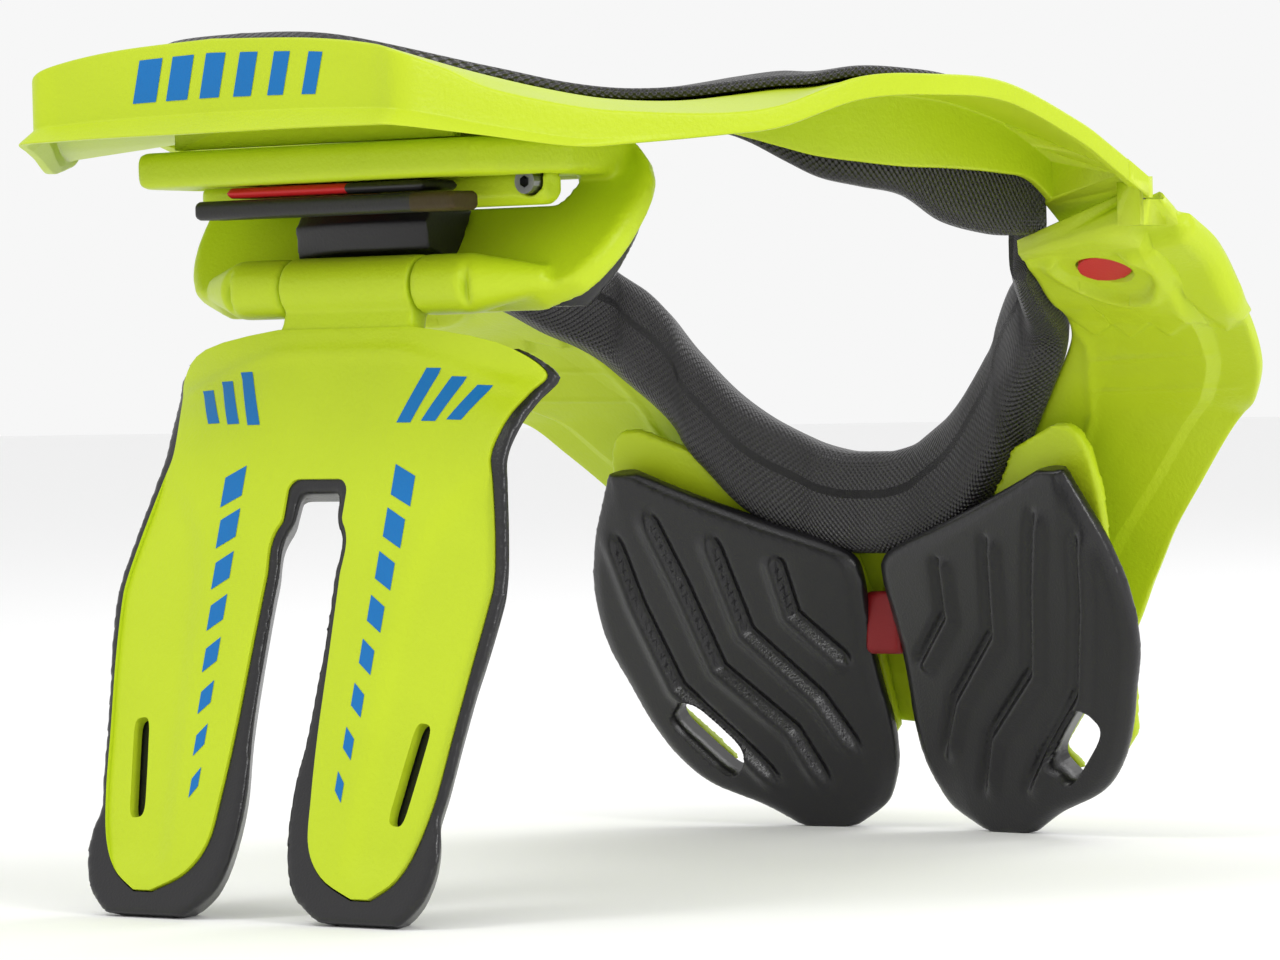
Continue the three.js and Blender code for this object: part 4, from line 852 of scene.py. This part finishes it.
# Strut and its pad
FORK, WING_BEND, BEND_START, BEND_POWER, BEND_GAIN = 0.325, 8.0, 0.35, 1.5, 1.9
LEAST_RIM, LEAST_SLOT, LEG_SLOT = 0.75, 0.4, 0.17
FORK_HALF, FORK_ROUND = 0.165 * STRUT_HALF_WIDTH, 3.2
SHEET_STEP, LEG_COLUMNS, MIDDLE_COLUMNS = 1.1, 26, 10
KNUCKLE_HALF, KNUCKLE_RADIUS = 17.7, 6.5
OUTWARD = np.array([0, -math.cos(STRUT_LEAN), math.sin(STRUT_LEAN)])
DOWNWARD = np.array([0, -math.sin(STRUT_LEAN), -math.cos(STRUT_LEAN)])
# Across and down the strut, in mm: the crease down each leg and the ridge round the top
CREASE = [(42, 40), (36, 46), (30.5, 53.5), (27.5, 64), (26.3, 78), (24.8, 100), (23, 127)]
TOP_RIDGE = [(0, 15.5), (17, 15.5), (30, 18.5), (44, 22)]
CREASE_DEPTH, CREASE_SIDE, CREASE_TOP, CREASE_FOOT = 0.9, (-0.6, 5.0), (38, 50), (131, 122)
TOP_RIDGE_HEIGHT, TOP_RIDGE_SIDE, SHEET_BEVEL = 0.45, (2.2, 0.4), 0.75
SLOT_AT, SLOT_HALF, SLOT_TURN = (37.0, 106), (2.2, 11.0), 0.16
STRUT_PRINT_PROUD = 0.1
# The first bar on a wing (across, down to its top, down to its foot) and how each next one differs, in mm
WING_BARS, WING_FIRST, WING_CHANGE = 3, (24.0, 19.0, 31.0), (6.2, 1.6, -0.4)
WING_BAR = [(0, False), (3.6, False), (-1.6, True), (-5.2, True)]  # its corners, across and if at its foot
# The first dash on a leg (across, down, width, height) and how each next one differs, in mm
LEG_DASHES, LEG_FIRST, LEG_CHANGE, LEG_SLANT = 8, (20.5, 40.0, 5.6, 6.6), (-0.25, 9.4, -0.5, -0.35), 2.6


def on_strut(x, along, out):
    return np.array([x, 0, 0]) + DOWNWARD * along + OUTWARD * out


def bend_at(wing, x):
    return wing * WING_BEND * max(0.0, abs(x) / STRUT_HALF_WIDTH - BEND_START) ** BEND_POWER * BEND_GAIN


def strut_layer(name, rows, side, near, edge_out, far, soft, tuck, rim=0.0, tail=0.0, grow=0.0):
    """One layer of the strut: side is 1 or -1 for a leg, or 0 for the part above the fork."""
    rings = []
    for row in rows:
        edge = row["edge"] * STRUT_HALF_WIDTH + rim * max(row["rim"], LEAST_RIM) + grow
        slot = max(row["slot"] * STRUT_HALF_WIDTH - rim * row["slotRim"] - grow, LEAST_SLOT)
        along = row["along"] * STRUT_LENGTH + tail * max(0.0, row["along"] - 0.9) / 0.1

        def place(x, out):
            return on_strut(x, along, out - bend_at(row["wing"], x))

        if side:
            a, b = side * slot, side * edge
            rings.append([
                place(a + side * tuck, near), place(b - side * tuck, near),
                place(b, edge_out), place(b, far - soft), place(b - side * soft, far),
                place(a + side * soft, far), place(a, far - soft), place(a, edge_out),
            ])
        else:
            spread = [s * (edge - soft) for s in np.linspace(-1, 1, 15)]
            back = [place(x * (1 - tuck / edge), near) for x in spread]
            face = [place(x, far) for x in spread[::-1]]
            brim = [place(edge, edge_out), place(edge, far - soft)]
            rings.append([place(-edge, edge_out), *back, *brim, *face, place(-edge, far - soft)])
    return loft(name, rings)


FINE_STRUT = refine(STRUT_ROWS, 6)
BODY_ROWS = [r for r in FINE_STRUT if r["along"] <= FORK + 1e-6]
LEG_ROWS = [dict(r, slot=max(r["slot"], LEG_SLOT)) for r in FINE_STRUT if r["along"] >= FORK - 0.05]


def strut_piece(name, **sizes):
    parts = [strut_layer(name + "_body", BODY_ROWS, 0, **sizes)]
    parts += [strut_layer(name + "_leg", LEG_ROWS, side, **sizes) for side in (1, -1)]
    return parts


def sheet_rows():
    """Rows of the strut's plate: how far down, how much its wings bend and the places across."""
    rows = refine(STRUT_ROWS, 40)
    lengths = np.array([r["along"] for r in rows]) * STRUT_LENGTH
    columns = {k: np.array([r[k] for r in rows]) for k in rows[0]}
    top, bottom, fork = lengths[0], lengths[-1], FORK * STRUT_LENGTH
    below = fork + FORK_ROUND
    alongs = np.concatenate([
        np.linspace(top, fork, int((fork - top) / SHEET_STEP) + 1)[:-1],
        fork + FORK_ROUND * np.linspace(0, 1, 7)[:-1] ** 1.6,
        np.linspace(below, bottom, int((bottom - fork) / SHEET_STEP) + 1),
    ])
    grid = []
    for a in alongs:
        row = {k: float(np.interp(a, lengths, column)) for k, column in columns.items()}
        slot = max(row["slot"] * STRUT_HALF_WIDTH, FORK_HALF)
        if a < below:
            t = min(1.0, max(0.0, (a - fork) / FORK_ROUND))
            slot = FORK_HALF - 3.0 * (1 - math.sqrt(1 - (1 - t) ** 2))
        edge = row["edge"] * STRUT_HALF_WIDTH
        middle = np.linspace(-slot, slot, MIDDLE_COLUMNS + 2)[1:-1]
        leg = np.linspace(slot, edge, LEG_COLUMNS)
        grid.append((a, row["wing"], np.concatenate([-leg[::-1], middle, leg])))
    return grid


def strut_sheet(name):
    """The strut's plate as one even grid, with the slot left open below the fork."""
    grid = sheet_rows()
    wide = 2 * LEG_COLUMNS + MIDDLE_COLUMNS
    verts, index = [], {}
    for layer, out in enumerate((STRUT_FACE - STRUT_THICK, STRUT_FACE)):
        for j, (a, wing, xs) in enumerate(grid):
            for i, x in enumerate(xs):
                index[layer, j, i] = len(verts)
                verts.append((on_strut(x, a, out - bend_at(wing, x)) + HINGE) * MM)
    faces, borders = [], {}
    for j in range(len(grid) - 1):
        for i in range(wide - 1):
            in_slot = LEG_COLUMNS - 1 <= i < LEG_COLUMNS + MIDDLE_COLUMNS
            if in_slot and grid[j][0] >= FORK * STRUT_LENGTH - 1e-6:
                continue
            around = [(j, i), (j, i + 1), (j + 1, i + 1), (j + 1, i)]
            faces.append([index[1, *at] for at in around])
            faces.append([index[0, *around[-k]] for k in range(4)])
            for k in range(4):
                key = tuple(sorted((around[k], around[(k + 1) % 4])))
                borders[key] = borders.get(key, 0) + 1
    for (a, b), count in borders.items():
        if count == 1:
            faces.append([index[0, *a], index[0, *b], index[1, *b], index[1, *a]])
    o = new_object(name, verts, faces)
    active(o)
    bpy.ops.object.mode_set(mode="EDIT")
    bpy.ops.mesh.select_all(action="SELECT")
    bpy.ops.mesh.delete_loose()
    bpy.ops.object.mode_set(mode="OBJECT")
    apply(o, "BEVEL", width=SHEET_BEVEL * MM, segments=3, limit_method="ANGLE", angle_limit=math.radians(50))
    return o


def strut_lift(x, along):
    """How far the strut's face stands off its plain sheet, for x from the middle outward."""
    dist, _ = line_distance(x, along, CREASE)
    line = np.interp(along, [a for _, a in CREASE], [c for c, _ in CREASE])
    outside = np.where(x > line, 1.0, -1.0)
    ends = step(*CREASE_TOP, along), step(*CREASE_FOOT, along)
    lift = -CREASE_DEPTH * step(*CREASE_SIDE, outside * dist) * ends[0] * ends[1]
    ridge, _ = line_distance(x, along, TOP_RIDGE)
    return lift + TOP_RIDGE_HEIGHT * step(*TOP_RIDGE_SIDE, ridge)


def strap_slot(side):
    """A cutter for the long slot near the foot of one leg."""
    corners = []
    for t in full_turn(24):
        px, py = SLOT_HALF[0] * bulged(math.cos(t), 0.6), SLOT_HALF[1] * bulged(math.sin(t), 0.25)
        x = SLOT_AT[0] + px * math.cos(SLOT_TURN) - py * math.sin(SLOT_TURN)
        corners.append((side * x, SLOT_AT[1] + py * math.cos(SLOT_TURN) + px * math.sin(SLOT_TURN)))
    return loft("slot", [[on_strut(x, along, out) for x, along in corners] for out in (-6, 8)])


def knuckle_piece():
    face = STRUT_FACE - 0.3
    neck_rows = [
        [on_strut(sx * half, along, out) for sx, out in ((-1, -3), (1, -3), (1, face), (-1, face))]
        for along, half in ((0, KNUCKLE_HALF), (6, KNUCKLE_HALF), (9, 17.9), (11.5, 19), (13.2, 22))
    ]
    barrel = cylinder("knuckle", (-KNUCKLE_HALF, 0, 0), (KNUCKLE_HALF, 0, 0), KNUCKLE_RADIUS, 64)
    return fused(join("knuckle", [barrel, loft("strut_neck", dense(neck_rows, 0.8, 2, 2))]), 0.6, 5)


def strut_cover():
    sheet = strut_sheet("strut_cover")
    p = coords(sheet) / MM - HINGE
    lift = strut_lift(np.abs(p[:, 0]), p @ DOWNWARD) * step(0.2, 0.6, normals(sheet) @ OUTWARD)
    set_coords(sheet, coords(sheet) + OUTWARD * lift[:, None] * MM)
    for side in (1, -1):
        cut_with(sheet, strap_slot(side))
    return sharpened(join("strut_cover", [sheet, knuckle_piece()]), 45)


def strut_print(x, along):
    lift = strut_lift(np.array([abs(x)]), np.array([along]))[0]
    alongs, wings = zip(*[(r["along"], r["wing"]) for r in FINE_STRUT])
    wing = float(np.interp(along / STRUT_LENGTH, alongs, wings))
    return on_strut(x, along, STRUT_FACE - bend_at(wing, x) + lift + STRUT_PRINT_PROUD)


def following(first, change, k):
    return [a + b * k for a, b in zip(first, change)]


def strut_prints():
    """Slanted bars on each wing and a line of dashes down each leg."""
    prints = []
    for side in (1, -1):
        for k in range(WING_BARS):
            x, along, foot = following(WING_FIRST, WING_CHANGE, k)
            spots = [(x + across, foot if low else along) for across, low in WING_BAR]
            prints.append(patch(f"wing_print_{k}", strut_print, [(side * px, down) for px, down in spots], 8))
        for k in range(LEG_DASHES):
            x, along, w, h = following(LEG_FIRST, LEG_CHANGE, k)
            spots = [(x, along), (x + w, along + LEG_SLANT), (x + w, along + LEG_SLANT + h), (x, along + h)]
            prints.append(patch(f"leg_print_{k}", strut_print, [(side * px, down) for px, down in spots], 6))
    return prints


sheet = with_prints(strut_cover(), strut_prints())
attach(sheet, "strut")
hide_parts("strut_shell")


PAD_BELOW_HINGE = 14.0


def strut_cushion():
    seat = STRUT_FACE - STRUT_THICK - GAP
    far = STRUT_FACE - 0.6
    back = dict(near=seat - STRUT_PAD_THICK, edge_out=far - 1.2, far=far, soft=0.6, tuck=7.0)
    parts = strut_piece("pad", **back, rim=PAD_RIM, tail=5.0)
    band = 0.2 * STRUT_HALF_WIDTH
    corners = (-band, seat - 5), (band, seat - 5), (band, far), (-band, far)
    parts.append(loft("fork_band", [
        [on_strut(x, along, out) for x, out in corners]
        for along in (FORK * STRUT_LENGTH - 4, FORK * STRUT_LENGTH + PAD_RIM)
    ]))
    pad = fused(join("strut_cushion", parts), 0.9, 4)
    room = dict(near=seat, edge_out=seat + 1, far=far + 12, soft=0.1, tuck=0.0, tail=GAP, grow=GAP)
    for cutter in strut_piece("room", **room):
        cut_with(pad, cutter)
    sharpened(pad, 50)
    co = coords(pad)
    co[:, 2] = np.clip(co[:, 2], 0.0, (HINGE[2] - PAD_BELOW_HINGE) * MM)
    set_coords(pad, co)
    return pad


finish(strut_cushion(), FOAM, "strut", "strut_pad", padded=0.9)


# Chest pads
CHEST_FACE = unit([-0.124, -0.941, -0.315])
CHEST_CORNER = np.array([62.5, 171.2, -CHEST_PAD_TOP])
CHEST_PAD_HEIGHT = STRUT_DROP - CHEST_PAD_TOP
PAD_EDGE, PAD_CROWN = 2.6, 2.2


def chest_point(side, x, down, out):
    z = -CHEST_PAD_TOP - down * CHEST_PAD_HEIGHT
    slope = CHEST_FACE[0] * (x - CHEST_CORNER[0]) + CHEST_FACE[2] * (z - CHEST_CORNER[2])
    y = CHEST_CORNER[1] - slope / CHEST_FACE[1]
    return np.array([side * (x + CHEST_FACE[0] * out), y + CHEST_FACE[1] * out, z + CHEST_FACE[2] * out])


def chest_pad(side, name):
    rings = []
    for row in refine(CHEST_ROWS, 7):
        a, b = row["in"] * CHEST_PAD_WIDTH, row["out"] * CHEST_PAD_WIDTH
        soft, tuck = min(3, (b - a) / 4), min(7, (b - a) / 3)
        rise = PAD_CROWN * row["body"]
        back = (CHEST_PAD_THICK - PAD_EDGE - PAD_CROWN) * row["body"]
        spots = [(a, -PAD_EDGE), (a, 0), (a + soft, rise * 0.7)]
        spots += [(a + (b - a) * t, rise) for t in (0.2, 0.35, 0.5, 0.65, 0.8)]
        spots += [(b - soft, rise * 0.7), (b, 0), (b, -PAD_EDGE)]
        spots += [(b - tuck, -PAD_EDGE - back), (a + tuck, -PAD_EDGE - back)]
        rings.append([chest_point(side, x, row["down"], o) for x, o in spots])
    return loft(name, rings)


# Grooves in the chest pads: mm from the middle and down from the pads' top
GROOVES = [
    [(56.2, 7.5), (50.2, 27), (45, 47.5), (28.5, 63), (21.5, 79)],
    [(40, 13.8), (35.2, 38.6), (19.5, 54.8), (11.5, 70)],
    [(23.4, 19.8), (21.8, 34.5), (9.5, 47)],
    [(67, 13), (63.5, 32), (57.5, 52.5), (44.5, 66), (34.5, 77.8)],
]
GROOVE_DEPTH, GROOVE_WIDTH = 1.8, 1.25
TERRACE_HEIGHT, TERRACE_FADE, TERRACE_RISE = 1.5, (5.4, 1.2), (-0.2, 1.4)
HOLE_AT, HOLE_HALF, HOLE_TURN = (53.0, 0.745 * CHEST_PAD_HEIGHT), (5.0, 10.5), 0.8


def terraces(x, down):
    """The height of the chest pad's relief: each groove has a step along its outer side."""
    lift = np.zeros(len(x))
    for points in GROOVES:
        dist, share = line_distance(x, down, points)
        ends = step(0.0, 0.08, share) * step(1.0, 0.9, share)
        line = np.interp(down, [q[1] for q in points], [q[0] for q in points])
        beyond = np.where(x > line, 1.0, -1.0) * dist
        terrace = TERRACE_HEIGHT * step(*TERRACE_FADE, beyond) * step(*TERRACE_RISE, beyond)
        lift += (terrace - GROOVE_DEPTH * bell(beyond + 0.5, GROOVE_WIDTH)) * ends
    return lift


def chest_hole(side):
    corners = []
    for t in full_turn(28):
        pu, pw = HOLE_HALF[0] * bulged(math.cos(t), 0.5), HOLE_HALF[1] * bulged(math.sin(t), 0.5)
        x = HOLE_AT[0] + pw * math.cos(HOLE_TURN) + pu * math.sin(HOLE_TURN)
        down = HOLE_AT[1] + pu * math.cos(HOLE_TURN) - pw * math.sin(HOLE_TURN)
        corners.append((x, down / CHEST_PAD_HEIGHT))
    return loft("hole", [[chest_point(side, x, down, out) for x, down in corners] for out in (-20, 8)])


def chest_cushion(side, name):
    pad = fused(chest_pad(side, name), 0.75, 4)
    p = coords(pad) / MM - HINGE
    outward = CHEST_FACE * (side, 1, 1)
    lift = terraces(side * p[:, 0], -p[:, 2] - CHEST_PAD_TOP) * step(0.35, 0.8, normals(pad) @ outward)
    set_coords(pad, coords(pad) + outward * lift[:, None] * MM)
    apply(pad, "SMOOTH", factor=0.5, iterations=2)
    co = coords(pad)
    co[:, 2] = np.maximum(co[:, 2], 0.0)
    set_coords(pad, co)
    return cut_with(pad, chest_hole(side))


for side, name in ((1, "right"), (-1, "left")):
    finish(chest_cushion(side, f"chest_cushion_{name}"), FOAM, "front", f"chest_pad_{name}", padded=0.9)


# Pieces eased from their solids: node, name, material, body, voxel in mm and rounds of smoothing
EASED = (
    ("rear_frame", "frame_shell", LIME, "rear", 0.9, 4),
    ("rear_neck_pad", "neck_cushion", FOAM, "rear", 1.3, 5),
    ("chest_plate_right", "plate_right", LIME, "front", 0.8, 3),
    ("chest_plate_left", "plate_left", LIME, "front", 0.8, 3),
    ("adjuster_arm", "arm_cover", LIME, "rear", 0.6, 3),
    ("adjuster_slider", "slider_cover", RED, "rear", 0.5, 2),
    ("adjuster_strip", "strip_cover", BLACK, "rear", 0.5, 2),
    ("angle_wedge", "wedge_cover", BLACK, "rear", 0.5, 3),
    # The front adjuster takes the darker copy of the red: painted shade
    ("front_adjuster", "front_adjuster_cover", RED_PAINTED_SHADE, "front", 0.5, 3),
    ("button_right", "button_cover_right", RED, "release_right", 0.25, 3),
    ("button_left", "button_cover_left", RED, "release_left", 0.25, 3),
)
NECK_PAD_TRIM, WEDGE_ARCH, WEDGE_BOW, WEDGE_GROW = 4.5, 1.6, 2.5, 2.2
# From which share of its length a piece has another material
CHANGES = {"adjuster_slider": (0.62, BLACK), "adjuster_strip": (0.84, SCUFFED)}


def reshape(node, piece):
    """The neck pad ends higher, behind the barrels, and the wedge is arched and bowed."""
    co = coords(piece)
    low, high = co.min(axis=0), co.max(axis=0)
    across, through, upward = ((co - low) / (high - low)).T
    if node == "rear_neck_pad":
        co[:, 2] = np.maximum(co[:, 2], low[2] + NECK_PAD_TRIM * MM)
    if node == "angle_wedge":
        arch = (2 * across - 1) ** 2
        co[:, 2] -= WEDGE_ARCH * MM * arch * (across < 0.5) * (1 - upward)
        co[:, 1] += WEDGE_BOW * MM * arch * (1 - through)
        co[:, 2] += WEDGE_GROW * MM * (upward - 0.35)
    set_coords(piece, co)


def change_material(piece, start, other):
    piece.data.materials.append(other)
    across = coords(piece)[:, 0]
    centre = np.array([face.center[0] for face in piece.data.polygons])
    share = (centre - across.min()) / (across.max() - across.min())
    piece.data.polygons.foreach_set("material_index", (share > start).astype(int))


for node, name, mat, body, voxel, rounds in EASED:
    piece = fused(copy_of(node, name), voxel, rounds)
    reshape(node, piece)
    finish(piece, mat, body, node, padded=0.8 if node == "rear_neck_pad" else None)
    if node in CHANGES:
        change_material(piece, *CHANGES[node])
for node in ("adjuster_bolt", "hinge_pin", "side_pin_right", "side_pin_left"):
    nodes[node].data.materials.clear()
    nodes[node].data.materials.append(STEEL)


# Floor, lights and camera
FLOOR_SIZE = 12
bpy.ops.mesh.primitive_plane_add(size=FLOOR_SIZE, location=(0, 0, 0))
floor = bpy.context.object
floor.name = "studio_floor"
paper = bpy.data.materials.new("paper")
paper.use_nodes = True
paper_shader = paper.node_tree.nodes["Principled BSDF"]
paper_shader.inputs["Base Color"].default_value = (0.93, 0.93, 0.93, 1)
paper_shader.inputs["Roughness"].default_value = 0.9
floor.data.materials.append(paper)

world = bpy.data.worlds.new("studio")
bpy.context.scene.world = world
bpy.context.scene.view_settings.view_transform = "Standard"
world.use_nodes = True
sky = world.node_tree.nodes["Background"]
sky.inputs["Color"].default_value = (1.0, 1.0, 1.0, 1)
sky.inputs["Strength"].default_value = 0.93


def lamp(name, place, target, size, power):
    data = bpy.data.lights.new(name, "AREA")
    data.size, data.energy = size, power
    o = bpy.data.objects.new(name, data)
    o.location = place
    o.rotation_euler = (Vector(target) - Vector(place)).to_track_quat("-Z", "Y").to_euler()
    bpy.context.scene.collection.objects.link(o)


lamp("key", (-0.5, -0.9, 1.6), (0, 0, 0.1), 0.5, 6.0)
lamp("fill", (1.3, -0.4, 0.7), (0, 0.1, 0.1), 0.35, 6.0)
lamp("back", (0.4, 1.3, 1.1), (0, 0, 0.1), 0.9, 6.0)

cam_data = bpy.data.cameras.new("photo_view")
cam_data.sensor_width = SENSOR
cam_data.lens = FOCAL_PIXELS / PHOTO_WIDTH * SENSOR
cam_data.clip_start, cam_data.clip_end = 0.01, 50
cam = bpy.data.objects.new("photo_view", cam_data)
turned = Matrix([cam_right, cam_up, -ahead]).transposed().to_4x4()
cam.matrix_world = Matrix.Translation(Vector((CAMERA_AT + HINGE) * MM)) @ turned
bpy.context.scene.collection.objects.link(cam)
bpy.context.scene.camera = cam
